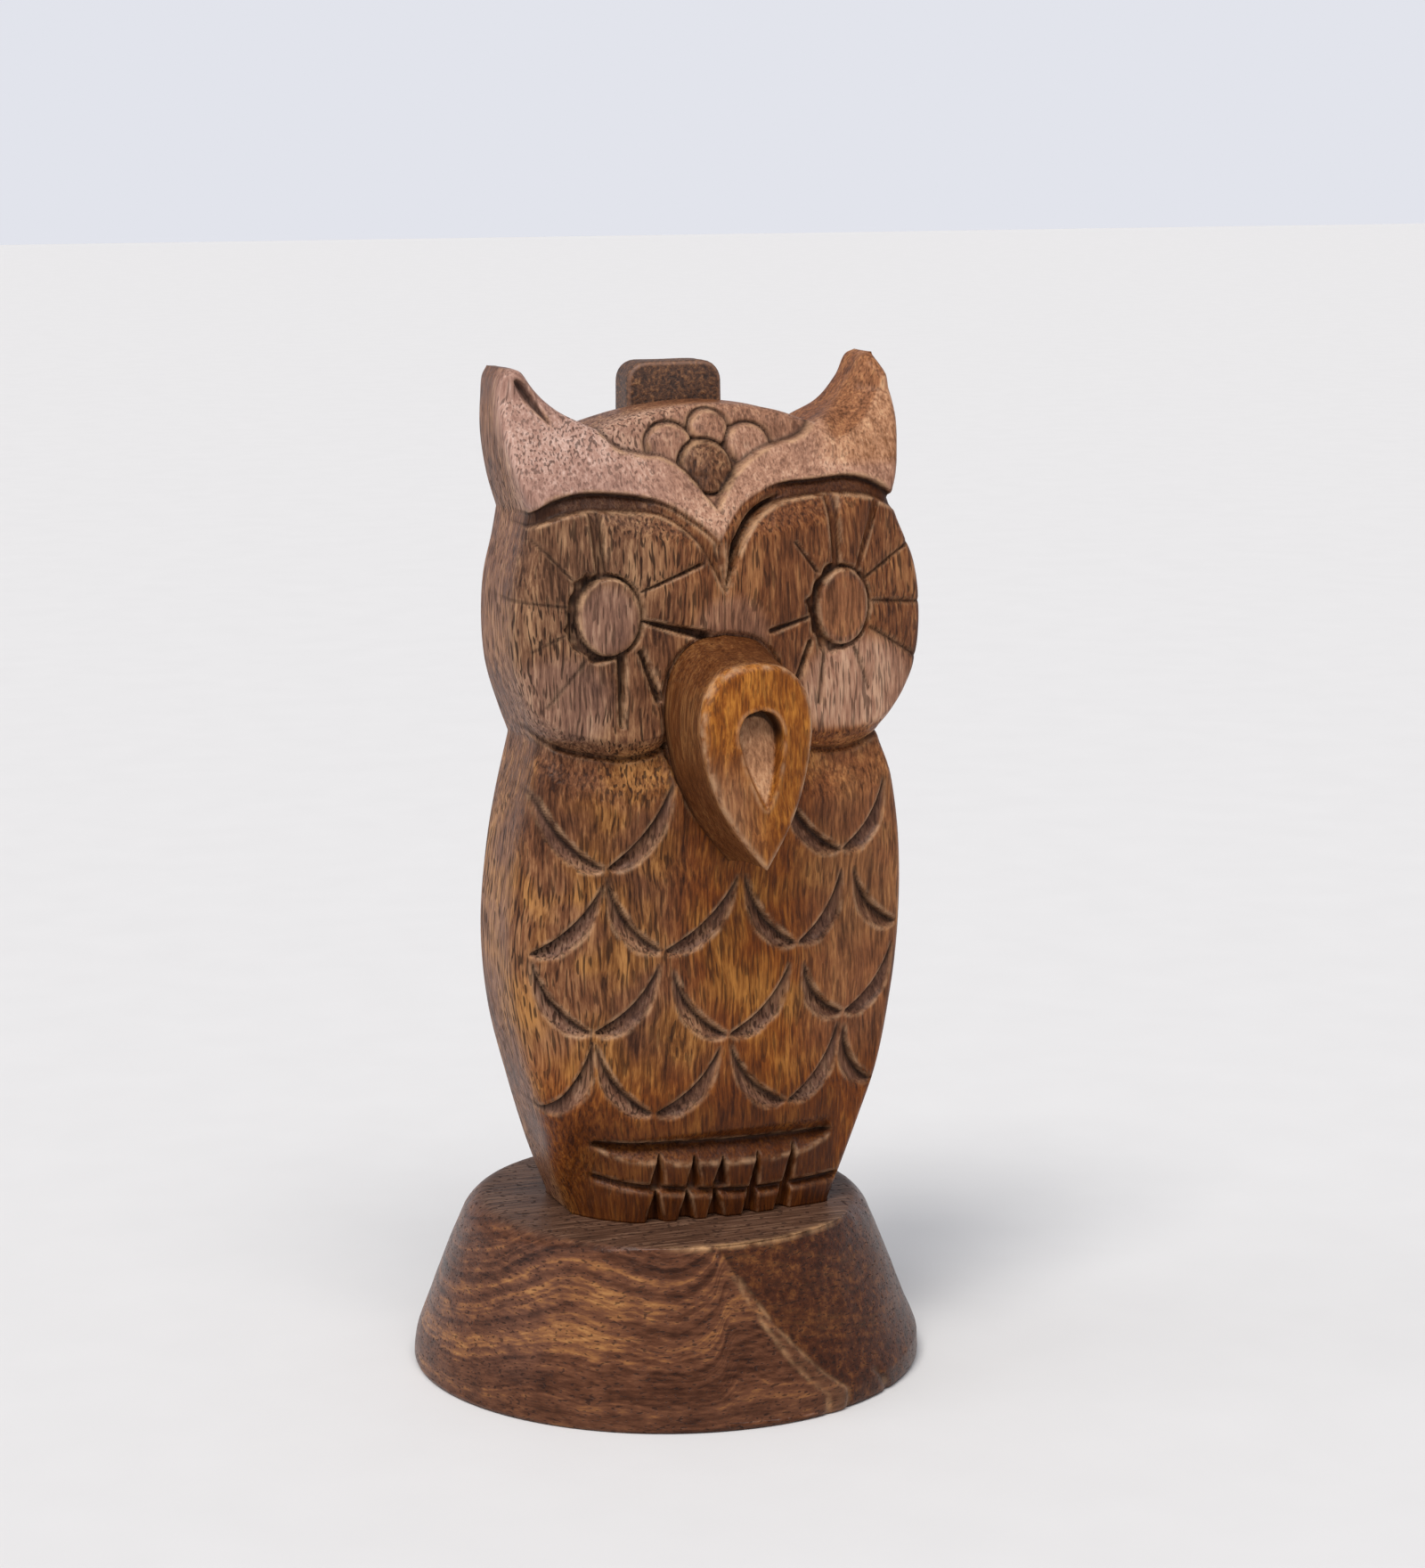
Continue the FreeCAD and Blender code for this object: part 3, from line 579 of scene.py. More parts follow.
# ---- meshes
class Skin:
    """Points in mm with named float values, gathered ring by ring."""

    def __init__(self, *names):
        self.points = []
        self.floats = {name: [] for name in names}

    def add(self, points, **values):
        """Adds points; a value that isn't given is 0."""
        self.points.append(points)
        for name, parts in self.floats.items():
            parts.append(np.broadcast_to(values.get(name, 0.0), (len(points),)))

    def mesh(self, name, faces, offset_x=0.0):
        """A smooth shaded mesh in metres, its faces turned outward."""
        points = np.vstack(self.points)
        points[:, 0] += offset_x
        mesh = bpy.data.meshes.new(name)
        mesh.from_pydata((points * MM).tolist(), [], faces)
        mesh.validate()
        mesh.polygons.foreach_set("use_smooth", [True] * len(mesh.polygons))
        for key, parts in self.floats.items():
            layer = mesh.attributes.new(key, "FLOAT", "POINT")
            layer.data.foreach_set("value", np.concatenate(parts).astype(np.float32))
        mesh.update()
        piece = bpy.data.objects.new(name, mesh)
        bpy.context.scene.collection.objects.link(piece)
        turn_outward(mesh)
        return piece


def turn_outward(mesh):
    work = bmesh.new()
    work.from_mesh(mesh)
    bmesh.ops.recalc_face_normals(work, faces=work.faces)
    work.to_mesh(mesh)
    work.free()


def coons(left, right, bottom, top):
    """A grid that fills four boundary lines: left and right run up, bottom and top run to the right."""
    v = np.linspace(0, 1, len(left))[:, None, None]
    u = np.linspace(0, 1, len(bottom))[None, :, None]
    ruled_v = (1 - v) * bottom[None] + v * top[None]
    ruled_u = (1 - u) * left[:, None] + u * right[:, None]
    corners = (1 - u) * (1 - v) * left[0] + u * (1 - v) * right[0]
    corners = corners + (1 - u) * v * left[-1] + u * v * right[-1]
    return ruled_v + ruled_u - corners


def loop_of(rows, columns):
    """Indices of a grid's border, once round, starting at its first corner."""
    index = np.arange(rows * columns).reshape(rows, columns)
    return np.concatenate([index[0, :-1], index[:-1, -1], index[-1, :0:-1], index[:0:-1, 0]])


def inward_normals(loop):
    ahead = np.roll(loop, -3, axis=0) - np.roll(loop, 3, axis=0)
    normal = np.stack([-ahead[:, 1], ahead[:, 0]], 1)
    return normal / np.maximum(np.linalg.norm(normal, axis=1), TINY)[:, None]


def grid_faces(rows, columns):
    index = np.arange(rows * columns).reshape(rows, columns)
    corners = (index[:-1, :-1], index[:-1, 1:], index[1:, 1:], index[1:, :-1])
    return np.stack(corners, -1).reshape(-1, 4).tolist()


def ring_faces(rings, around):
    """Quads between closed rings of points."""
    faces = []
    for r in range(rings - 1):
        a = np.arange(around) + r * around
        b = a + around
        faces += np.stack([a, b, np.roll(b, -1), np.roll(a, -1)], -1).tolist()
    return faces


def flat_faces(loops):
    """Triangles over a flat outline and the holes in it, by place in the loops taken one after another."""
    return tessellate_polygon([[Vector((*p, 0)) for p in loop] for loop in loops])


COLUMNS, ROWS = ((198, 416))
HEAD_SHARES = ((0, 0), (0.48, 0.555), (1, 1))
SIDE_ROWS = 5
TURN_ROWS = 3
BACK_ROUND = 1.1
FOOT_ROUND = 0.05
SIDE_BUMP = 0.14


def owl_grid(rows, columns):
    """Owl coordinates of an even grid inside the board's outline."""
    left = resample(chain(LEFT_SIDE, LEFT_DISC, LEFT_EAR), rows, HEAD_SHARES)
    right = resample(chain(RIGHT_SIDE, RIGHT_DISC, RIGHT_EAR), rows, HEAD_SHARES)
    top = resample(chain(LEFT_INNER, CROWN, RIGHT_INNER), columns)
    bottom = resample(np.array([LEFT_SIDE[0], RIGHT_SIDE[0]], float), columns)
    return coons(left, right, bottom, top)


def stain_and_wear(relief, colours, seen, z):
    """Painted shade in hollows and along cut lines, and raised edges made lighter as worn wood and painted
    highlight, found from the relief's own blurs.
    """
    wide, narrow = blur(relief, 10), blur(relief, 3)
    hollow = np.clip((relief - wide - 0.3) * 0.45, 0, 0.6) + np.clip((relief - narrow - 0.06) * 3.0, 0, 1)
    hollow *= 1 - 0.6 * colours["pale"]
    raised = np.clip((narrow - relief - 0.04) * 5.0, 0, 1)
    raised *= 1 - 0.5 * smooth(46, 44, z)
    return {"stain": np.clip(hollow + 0.85 * seen["cut"], 0, 1), "wear": np.maximum(raised, seen["ridge"])}


def owl_front():
    """The grid of the carved front in owl coordinates, its y, and its colour values, one per point."""
    fine = owl_grid(2 * ROWS - 1, 2 * COLUMNS - 1)
    x, z = fine[..., 0], fine[..., 1]
    rim = fine.reshape(-1, 2)[loop_of(*x.shape)]
    carved = rim[rim[:, 1] > BASE_TOP + 0.2][::5]
    relief, seen = front_relief(x, z)
    corner, arc = rounded_edge(x, z, distance_to(carved, x, z, 5.0)[0])
    y = blank_front(x, z) + (relief + corner - arc)
    colours = front_colours(x, z, seen)
    colours.update(stain_and_wear(relief, colours, seen, z))
    return fine[::2, ::2], averaged(y), {key: averaged(value).ravel() for key, value in colours.items()}


def back_rounding(outline):
    """Radius of the back's edge round the outline, less at the tips and where the board meets the base."""
    tips = np.array([LEFT_EAR[-1], RIGHT_EAR[-1], CROWN[0], CROWN[-1]])
    to_tip = np.min(np.linalg.norm(outline[:, None] - tips[None], axis=2), axis=1)
    footing = outline[:, 1] < BASE_TOP + 0.3
    return np.where(footing, FOOT_ROUND, BACK_ROUND * smooth(0.5, 5, to_tip)), footing


def make_owl():
    """The carved front, the board's side in rings behind its border, and a flat back."""
    grid, height, colours = owl_front()
    border = loop_of(ROWS, COLUMNS)
    outline = grid.reshape(-1, 2)[border]
    skin = Skin("pale", "warm", "dull", "honey", "stain", "wear")
    skin.add(np.column_stack([grid[..., 0].ravel(), height.ravel(), grid[..., 1].ravel()]), **colours)
    faces = grid_faces(ROWS, COLUMNS)
    inward = inward_normals(outline)
    rounding, footing = back_rounding(outline)
    start = skin.points[0][border, 1]
    around = np.arange(len(border)) * 0.3
    side_pale = 0.1 + 0.12 * smooth(136, 142, outline[:, 1])
    # The side's tint runs cool to the left and warm to the right, partly the wood's own colour and partly
    # painted cool light from the left.
    side_warm = 0.35 + 0.65 * smooth(-12, 10, outline[:, 0])
    previous, count = border, ROWS * COLUMNS
    for row in range(1, SIDE_ROWS + TURN_ROWS + 1):
        turn = max(0, row - SIDE_ROWS) / TURN_ROWS * math.pi / 2
        share = min(row / SIDE_ROWS, 1.0)
        depth = start + (BACK_Y - rounding - start) * share + rounding * math.sin(turn)
        bump = SIDE_BUMP * value_noise(around, depth, 9, 11, 21) * math.sin(math.pi * min(share, 0.98))
        bump[footing] = 0
        place = outline + inward * (rounding * (1 - math.cos(turn)) + bump)[:, None]
        blend = min(1.0, row / 2)
        # The rounding at the back is lightened as worn wood and painted highlight, and the front's painted
        # shade fades out along the side.
        skin.add(np.column_stack([place[:, 0], depth, place[:, 1]]), warm=side_warm,
                 pale=colours["pale"][border] * (1 - blend) + side_pale * blend,
                 honey=colours["honey"][border], stain=colours["stain"][border] * (1 - share) ** 2,
                 wear=0.3 if row > SIDE_ROWS else 0.0)
        ring = np.arange(count, count + len(border))
        faces += np.stack([np.roll(previous, -1), previous, ring, np.roll(ring, -1)], -1).tolist()
        previous, count = ring, count + len(border)
    faces += [[int(previous[i]) for i in triangle] for triangle in flat_faces([place])]
    return skin.mesh("carved_owl", faces, OWL_X)


# ---- the beak
BEAK_HALF_WIDTH = 8.3
BEAK_TIP_Z = 81.4
BEAK_TOP_Z = 110.8
BEAK_TOP_Y = -31.5
BEAK_TIP_Y = -34.6
BEAK_SWELL = 1.10
BEAK_LIFT = 1.3
BEAK_RIGHT = [(0.3, BEAK_TIP_Z), (3.4, 86.2), (6.2, 91.8), (7.9, 98.0), (BEAK_HALF_WIDTH, 102.8),
              (7.3, 107.0), (4.6, 109.8), (0, BEAK_TOP_Z)]
BEAK_LEFT = [(0, BEAK_TOP_Z), (-4.6, 109.8), (-7.3, 107.0), (-BEAK_HALF_WIDTH, 102.8), (-8.0, 98.0),
             (-6.4, 91.8), (-3.5, 86.2), (0.3, BEAK_TIP_Z)]
HOLLOW_TOP_Z = 104.4
HOLLOW = [(0.1, HOLLOW_TOP_Z), (2.2, 103.6), (3.4, 101.2), (3.1, 97.4), (2.1, 93.4), (0.4, 90.2),
          (-1.4, 93.4), (-2.7, 97.4), (-3.3, 101.2), (-2.1, 103.6), (0.1, HOLLOW_TOP_Z)]
HOLLOW_LOW_Z = 89.6
HOLLOW_DEPTH = 3.3
BEAK_AROUND, BEAK_RINGS, BEAK_SIDE_ROWS = ((320, 110, 20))
BEAK_SWELL_CENTRE = np.array([0.0, 99.0])
BEAK_RING_CENTRE = np.array([0.1, 98.6])
BEAK_BACK_SINK = 0.4


def beak_outline(swell, count):
    """A teardrop, round at the top and pointed below, once round from the tip."""
    line = resample(chain(BEAK_RIGHT, BEAK_LEFT), count + 1)[:-1]
    return BEAK_SWELL_CENTRE + (line - BEAK_SWELL_CENTRE) * swell


def beak_face(x, z, edge_distance):
    """y of the leaning front face with its hollow, and the distance from the hollow's edge inward."""
    y = BEAK_TOP_Y + (BEAK_TIP_Y - BEAK_TOP_Y) * (BEAK_TOP_Z - z) / (BEAK_TOP_Z - BEAK_TIP_Z)
    y = y + 0.014 * x ** 2
    away = signed_distance(spline(HOLLOW, 8)[:-1], x, z)
    deep = HOLLOW_DEPTH * np.clip((z - HOLLOW_LOW_Z) / (HOLLOW_TOP_Z - HOLLOW_LOW_Z), 0, 1) ** 0.9
    y = y + deep * smooth(-0.05, 0.55, away) - 0.15 * bell(away + 0.25, 0.35)
    corner = 0.9 + 0.6 * smooth(2, -6, x) + 0.2 * value_noise(x, z, 4.0, 6.0, 33)
    near = np.clip(corner - edge_distance, 0, corner)
    y = y + 0.9 * (corner - np.sqrt(np.maximum(corner ** 2 - near ** 2, 0)))
    return y + 0.10 * value_noise(x, z, 3.0, 6.0, 34), away


def beak_face_colours(x, z, off, away):
    """Pale in the hollow, a dark crescent of painted shadow under its arch, painted shade darker towards
    the bottom, and lighter round both edges as worn wood and painted highlight.
    """
    hollow = smooth(0.3, 0.9, away)
    low_left = smooth(2, -5, x) * smooth(100, 92, z) * (1 - hollow)
    thick = 0.35 + 0.9 * smooth(100, 104, z)
    crescent = smooth(98, 101.5, z) * smooth(0.0, 0.2, away) * (1 - smooth(thick, thick + 0.35, away))
    return {"pale": 0.95 * hollow + 0.3 * low_left, "warm": 1 - 0.1 * hollow - 0.3 * low_left,
            "stain": crescent, "dull": 0.22 * smooth(106, 94, z) * (1 - hollow),
            "wear": 0.9 * bell(off - 0.15, 0.45) + 0.5 * bell(away + 0.25, 0.3)}


def make_beak():
    """Rings out over the leaning face, then rings back along the swelling side to the owl's face."""
    rim = beak_outline(1.0, BEAK_AROUND)
    closed = np.vstack([rim, rim[:1]])
    skin = Skin("pale", "warm", "dull", "stain", "wear")
    for share in np.linspace(0.02, 1, BEAK_RINGS):
        x, z = (BEAK_RING_CENTRE + (rim - BEAK_RING_CENTRE) * share).T
        off = distance_to(closed, x, z)[0]
        y, away = beak_face(x, z, off)
        skin.add(np.column_stack([x, y, z]), **beak_face_colours(x, z, off, away))
    start = y
    around = np.arange(BEAK_AROUND) * 48 / BEAK_AROUND
    for row in range(1, BEAK_SIDE_ROWS + 1):
        share = row / BEAK_SIDE_ROWS
        swell = 1.0 + (BEAK_SWELL - 1) * share ** 1.5 - 0.02 * math.sin(math.pi * share)
        x, z = beak_outline(swell, BEAK_AROUND).T
        lift = BEAK_LIFT * share ** 0.8 * smooth(100, 111, rim[:, 1])
        y = start + (BEAK_BACK_Y + BEAK_BACK_SINK - start) * share
        bump = 0.12 * value_noise(around, y, 5, 4, 35) * math.sin(math.pi * share)
        # The sides carry painted shade: darker all along, and darkest low down where the beak meets the
        # face; their front edge is lighter as worn wood and painted highlight.
        skin.add(np.column_stack([x * (1 + bump / 9), y, z + lift]), warm=0.55,
                 dull=0.7 * smooth(0, 0.1, share), wear=0.4 * (1 - smooth(0, 0.12, share)),
                 stain=0.8 * smooth(0.82, 1.0, share) * smooth(108, 96, rim[:, 1]))
    faces = ring_faces(len(skin.points), BEAK_AROUND)
    last = (len(skin.points) - 1) * BEAK_AROUND
    faces.append(list(range(BEAK_AROUND)))
    faces.append(list(range(last + BEAK_AROUND - 1, last - 1, -1)))
    return skin.mesh("carved_beak", faces, OWL_X)


# ---- plates with screw wells
WELL_AROUND = 48
WELL_GAP = 0.1


def plate(outline, first, wells, to_point):
    """A flat face inside an outline with round wells sunk in it.

    outline holds 2-D points whose vertices are numbered from first on. Each well is (centre, profile),
    the profile being (radius, depth) pairs. to_point turns a 2-D point and a depth into a 3-D point.
    Returns the new points, numbered on from the outline's last, and all the faces.
    """
    turn = np.linspace(0, 2 * math.pi, WELL_AROUND, endpoint=False)
    circle = np.column_stack([np.cos(turn), np.sin(turn)])
    loops = [outline] + [centre + circle * profile[0][0] for centre, profile in wells]
    count = first + len(outline)
    numbers = list(range(first, count))
    points, faces = [], []
    for (centre, profile), mouth in zip(wells, loops[1:]):
        numbers += list(range(count, count + WELL_AROUND))
        points += [to_point(p, 0.0) for p in mouth]
        for radius, depth in profile[1:]:
            a = np.arange(WELL_AROUND) + count
            b = np.roll(a, -1)
            faces += np.stack([a, b, b + WELL_AROUND, a + WELL_AROUND], -1).tolist()
            points += [to_point(p, depth) for p in centre + circle * radius]
            count += WELL_AROUND
        faces.append(list(range(count, count + WELL_AROUND)))
        count += WELL_AROUND
    faces += [[numbers[i] for i in triangle] for triangle in flat_faces(loops)]
    return np.array(points), faces


# ---- the base
BASE_RADIUS = BASE_HIGH[0]
BASE_RIM = 3.4
BASE_TOP_RADIUS = 30.4
BASE_AROUND = 480
BASE_SIDE_ROWS = 56
BASE_FLAT_ROWS = 24
# Height in mm by which the annual rings rise and fall round the cone, by bearing from the front in degrees
FIGURE = [(-180, 2), (-130, -3), (-100, -8), (-76, -6), (-48, 1.2), (-33, 0.2), (-17, -1.3), (-8, 1),
          (-4, 4.5), (10, 3), (40, -2), (80, 1), (130, -2), (180, 2)]
SEAM_TOP = -6.0
SEAM_FOOT = 23.5
SEAM_STRIP = 6.0
NICK_BEARING = 37.0
BASE_WELL_FLOOR = 2.3


def base_profile(turn, bearing):
    """Rows of (radius, height, how much of the flat top it is), from the foot up to the top's middle."""
    crisp = window(bearing, -75, -20, 34, 60)
    shoulder = 4.8 - 4.3 * crisp + 0.3 * value_noise(turn * 10, turn * 0, 6, 6, 41)
    rim_soft = 14.0 - 13.0 * smooth(12, 30, bearing) * (1 - smooth(140, 165, bearing))
    rim = BASE_RIM + 0.4 * np.sin(turn * 2 + 0.4) + 0.7 * smooth(20, 60, bearing)
    side = np.stack([BASE_TOP_RADIUS - BASE_RADIUS + 0 * rim, BASE_TOP - rim])
    side = side / np.hypot(*side)
    lean = np.arctan2(-side[0], side[1])
    first = rim_soft * np.tan(lean / 2)
    second = shoulder * np.tan((math.pi / 2 - lean) / 2)
    ones = np.ones_like(turn)
    rows = [((BASE_RADIUS - 0.7) * ones, 0 * ones, 0), ((BASE_RADIUS - 0.2) * ones, 0.2 * ones, 0)]
    rows += [(BASE_RADIUS * ones, 0.7 + (rim - first - 0.7) * t, 0) for t in np.linspace(0, 1, 4)]
    for t in np.linspace(0, 1, 7)[1:]:
        radius = BASE_RADIUS - rim_soft * (1 - np.cos(lean * t))
        rows.append((radius, rim - first + rim_soft * np.sin(lean * t), 0))
    low_r, low_z = rows[-1][:2]
    high_r = BASE_TOP_RADIUS - side[0] * second
    high_z = BASE_TOP - side[1] * second
    rows += [(low_r + (high_r - low_r) * t, low_z + (high_z - low_z) * t, 0)
             for t in np.linspace(0, 1, BASE_SIDE_ROWS)[1:]]
    centre_r, centre_z = high_r - shoulder * np.cos(lean), high_z - shoulder * np.sin(lean)
    for t in np.linspace(0, 1, 13)[1:]:
        angle = lean + (math.pi / 2 - lean) * t
        radius, height = centre_r + shoulder * np.cos(angle), centre_z + shoulder * np.sin(angle)
        rows.append((radius, height, smooth(0.3, 1, t)))
    flat_r, flat_z = rows[-1][:2]
    return rows + [(flat_r * t, flat_z, 1.0) for t in np.linspace(1, 0, BASE_FLAT_ROWS, endpoint=False)[1:]]


def base_row(bearing, swing, r, z, top):
    """One row of the base: its radius worn down, and its colour values."""
    up = np.clip((z - BASE_RIM) / (BASE_TOP - BASE_RIM), 0, 1)
    side = 1 - top
    past = bearing - (SEAM_FOOT + (SEAM_TOP - SEAM_FOOT) * up ** 0.8)
    strip = SEAM_STRIP * (1 - up) ** 1.2
    facet = smooth(-0.6, 0.6, past) * (1 - smooth(105, 150, bearing))
    worn = window(past, -strip - 1, -strip + 1, -1, 0.6) * (1 - up) * (1 - top)
    line = bell(past, 0.7) + bell(past + strip, 0.7) * (up < 0.85)
    nick = bell(bearing - NICK_BEARING + (z - 2) * 1.2, 1.1) * (z < BASE_RIM + 1)
    wave = 0.20 * value_noise(bearing, z, 22, 9, 43) + 0.05 * value_noise(bearing, z, 4, 2, 44)
    radius = r - side * (0.35 * facet + 0.25 * line + 0.35 * nick + 0.22 + wave * smooth(0, 2, z))
    # edge is a painted highlight along the top edge, on the front only; it is added to the lightening of
    # worn places.
    edge = bell(z - BASE_TOP + 0.2, 0.4) * bell(r - BASE_TOP_RADIUS + 0.2, 0.8)
    edge = edge * smooth(-24, -8, bearing) * (1 - smooth(30, 44, bearing))
    figure = z - swing * smooth(-2, 15, z) + 0.6 * value_noise(bearing, z, 16, 6, 45)
    patchy = 0.6 + 0.4 * value_noise(bearing, z, 3, 2, 46)
    lightening = (0.15 * worn + 0.6 * line * (up < 0.8) + 0.5 * nick) * patchy
    # The dark in the nick and along the seam's crease is painted shade.
    return radius, {"figure": np.where(top > 0.95, z, figure), "facet": facet * side, "top": top,
                    "stain": np.clip(0.45 * nick + 0.35 * line * facet, 0, 1),
                    "wear": np.clip(1.2 * edge + lightening, 0, 1)}


def make_base():
    """A turned foot, worn down unevenly, with a seam across its front right and two screw wells below."""
    turn = np.linspace(0, 2 * math.pi, BASE_AROUND, endpoint=False)
    bearing = (np.degrees(turn) + 90 + 180) % 360 - 180
    swing = np.interp(bearing, *spline(FIGURE).T)
    skin = Skin("figure", "facet", "top", "stain", "wear")
    for r, z, top in base_profile(turn, bearing):
        radius, values = base_row(bearing, swing, r, z, top)
        skin.add(np.column_stack([radius * np.cos(turn), radius * np.sin(turn), z + 0 * turn]), **values)
    faces = [face[::-1] for face in ring_faces(len(skin.points), BASE_AROUND)]
    count = len(skin.points) * BASE_AROUND
    faces.append(list(range(count - BASE_AROUND, count)))
    sink = SCREWS_LOW[2]
    profile = [(SCREW_HEAD + WELL_GAP, 0), (SCREW_HEAD + WELL_GAP, sink),
               (SCREW_HEAD / 2 - WELL_GAP, sink + BASE_WELL_FLOOR)]
    middle_y = (SCREWS_LOW[1] + SCREWS_HIGH[1]) / 2
    wells = [(np.array([x, middle_y]), profile)
             for x in (SCREWS_LOW[0] + SCREW_HEAD, SCREWS_HIGH[0] - SCREW_HEAD)]

    def to_point(p, depth):
        return p[0], p[1], depth

    more, flat = plate(skin.points[0][:, :2], 0, wells, to_point)
    skin.add(more)
    new = count - BASE_AROUND
    faces += [[i if i < BASE_AROUND else i + new for i in face] for face in flat]
    return skin.mesh("turned_base", faces)


# ---- the rear brace
BRACE_CORNER = 3.0
BRACE_EDGE = 0.7
BRACE_AROUND = 360
BRACE_WELL_FLOOR = 1.9


def brace_outline(half, low_z, high_z):
    """Half width by height, once round, with round corners at the top."""
    arc = [(half - BRACE_CORNER * (1 - math.cos(a)), high_z - BRACE_CORNER * (1 - math.sin(a)))
           for a in np.linspace(0, math.pi / 2, 9)]
    right = np.array([(half, low_z)] + arc)
    return resample(np.vstack([right, right[::-1] * [-1, 1], right[:1]]), BRACE_AROUND + 1)[:-1]


def make_brace():
    """A sawn strip with softened edges and three countersunk holes in its back."""
    low, high = np.array(BRACE_LOW), np.array(BRACE_HIGH)
    middle = (high[0] + low[0]) / 2
    depth = high[1] - low[1]
    outline = brace_outline((high[0] - low[0]) / 2, low[2], high[2])
    inward = inward_normals(outline)
    edge = [(BRACE_EDGE * (1 - math.sin(a)), BRACE_EDGE * (1 - math.cos(a)))
            for a in np.linspace(0, math.pi / 2, 5)]
    rows = edge + [(0, y) for y in np.linspace(BRACE_EDGE, depth - BRACE_EDGE, 6)[1:-1]]
    rows += [(inset, depth - y) for inset, y in edge[::-1]]
    skin = Skin("wear")
    for inset, y in rows:
        dent = 0.1 * np.abs(value_noise(np.arange(BRACE_AROUND) * 0.4, np.full(BRACE_AROUND, y), 5, 4, 51))
        place = outline + inward * (inset + dent)[:, None]
        skin.add(np.column_stack([place[:, 0] + middle, np.full(BRACE_AROUND, low[1] + y), place[:, 1]]),
                 wear=0.6 if 0.1 < inset < 0.6 else 0.0)
    faces = ring_faces(len(skin.points), BRACE_AROUND)
    faces.append(list(range(BRACE_AROUND)))
    middle_x = (TIES_LOW[0] + TIES_HIGH[0]) / 2
    profile = [(TIE_HEAD + WELL_GAP, 0), (TIE_HEAD / 2 - WELL_GAP, BRACE_WELL_FLOOR)]
    wells = [(np.array([middle_x, z]), profile)
             for z in (TIES_LOW[2] + TIE_HEAD, (TIES_LOW[2] + TIES_HIGH[2]) / 2, TIES_HIGH[2] - TIE_HEAD)]

    def to_point(p, sunk):
        return p[0], high[1] - sunk, p[1]

    more, flat = plate(skin.points[-1][:, [0, 2]], (len(skin.points) - 1) * BRACE_AROUND, wells, to_point)
    skin.add(more)
    return skin.mesh("back_strip", faces + flat)


# ---- materials
class Nodes:
    """Short calls for building a material's node tree."""

    def __init__(self, name):
        self.material = bpy.data.materials.new(name)
        self.material.use_nodes = True
        self.tree = self.material.node_tree
        self.shader = self.tree.nodes["Principled BSDF"]
        self.place = self.add("ShaderNodeTexCoord").outputs["Object"]

    def fill(self, node, inputs):
        """Links a socket to an input, or sets the input's value; a plain colour gets its alpha."""
        for key, value in inputs.items():
            target = node.inputs[key]
            if isinstance(value, bpy.types.NodeSocket):
                self.tree.links.new(value, target)
            else:
                target.default_value = (*value, 1) if target.type == "RGBA" else value

    def add(self, kind, inputs=None, **settings):
        node = self.tree.nodes.new(kind)
        for key, value in settings.items():
            setattr(node, key, value)
        self.fill(node, inputs or {})
        return node

    def math(self, operation, a, b, clamp=False):
        return self.add("ShaderNodeMath", {0: a, 1: b}, operation=operation, use_clamp=clamp).outputs[0]

    def times(self, *values, clamp=False):
        result = values[0]
        for value in values[1:-1]:
            result = self.math("MULTIPLY", result, value)
        return self.math("MULTIPLY", result, values[-1], clamp)

    def total(self, *terms, clamp=False):
        """Sum of sockets, plain numbers and (value, factor) pairs."""
        values = [self.times(*term) if isinstance(term, tuple) else term for term in terms]
        result = values[0]
        for value in values[1:-1]:
            result = self.math("ADD", result, value)
        return self.math("ADD", result, values[-1], clamp)

    def mix(self, share, a, b):
        return self.add("ShaderNodeMix", {0: share, 6: a, 7: b}, data_type="RGBA").outputs[2]

    def ramp(self, value, *stops):
        """A colour by (place, colour) stops; a plain number stands for a grey."""
        node = self.add("ShaderNodeValToRGB", {0: value})
        band = node.color_ramp
        while len(band.elements) < len(stops):
            band.elements.new(0.5)
        for element, (place, colour) in zip(band.elements, stops):
            element.position = place
            element.color = (*colour, 1) if isinstance(colour, tuple) else (colour, colour, colour, 1)
        return node.outputs[0]

    def noise(self, vector, scale, detail=4.0, rough=0.5):
        inputs = {"Vector": vector, "Scale": scale, "Detail": detail, "Roughness": rough}
        return self.add("ShaderNodeTexNoise", inputs).outputs[0]

    def stretched(self, vector, scale, turn=0.0):
        """Coordinates scaled along each axis after a turn about z, in degrees."""
        inputs = {"Vector": vector, "Rotation": (0, 0, math.radians(turn)), "Scale": scale}
        return self.add("ShaderNodeMapping", inputs).outputs[0]

    def attribute(self, name):
        return self.add("ShaderNodeAttribute", attribute_name=name).outputs["Fac"]

    def lightening(self, amount, scale, low, high):
        """The mesh's value of worn edges and painted highlight, broken up by a noise ramp of two (place,
        grey) stops.
        """
        return self.times(self.attribute("wear"), self.ramp(self.noise(self.place, scale, 3.0), low, high),
                          amount, clamp=True)

    def bump(self, height, strength, distance):
        inputs = {"Strength": strength, "Distance": distance, "Height": height}
        return self.add("ShaderNodeBump", inputs).outputs[0]

    def surface(self, colour, roughness, **inputs):
        """Fills the shader, with _ for each space of an input's name, and returns the material."""
        self.fill(self.shader, {"Base Color": colour, "Roughness": roughness})
        self.fill(self.shader, {key.replace("_", " "): value for key, value in inputs.items()})
        return self.material


def srgb(*values):
    return tuple(((v / 255 + 0.055) / 1.055) ** 2.4 if v > 10 else v / 255 / 12.92 for v in values)


def shades(*colours):
    return tuple(srgb(*colour) for colour in colours)


def stops(*rows):
    """Stops of a colour ramp from rows of place, red, green, blue."""
    return tuple((place, srgb(*colour)) for place, *colour in rows)


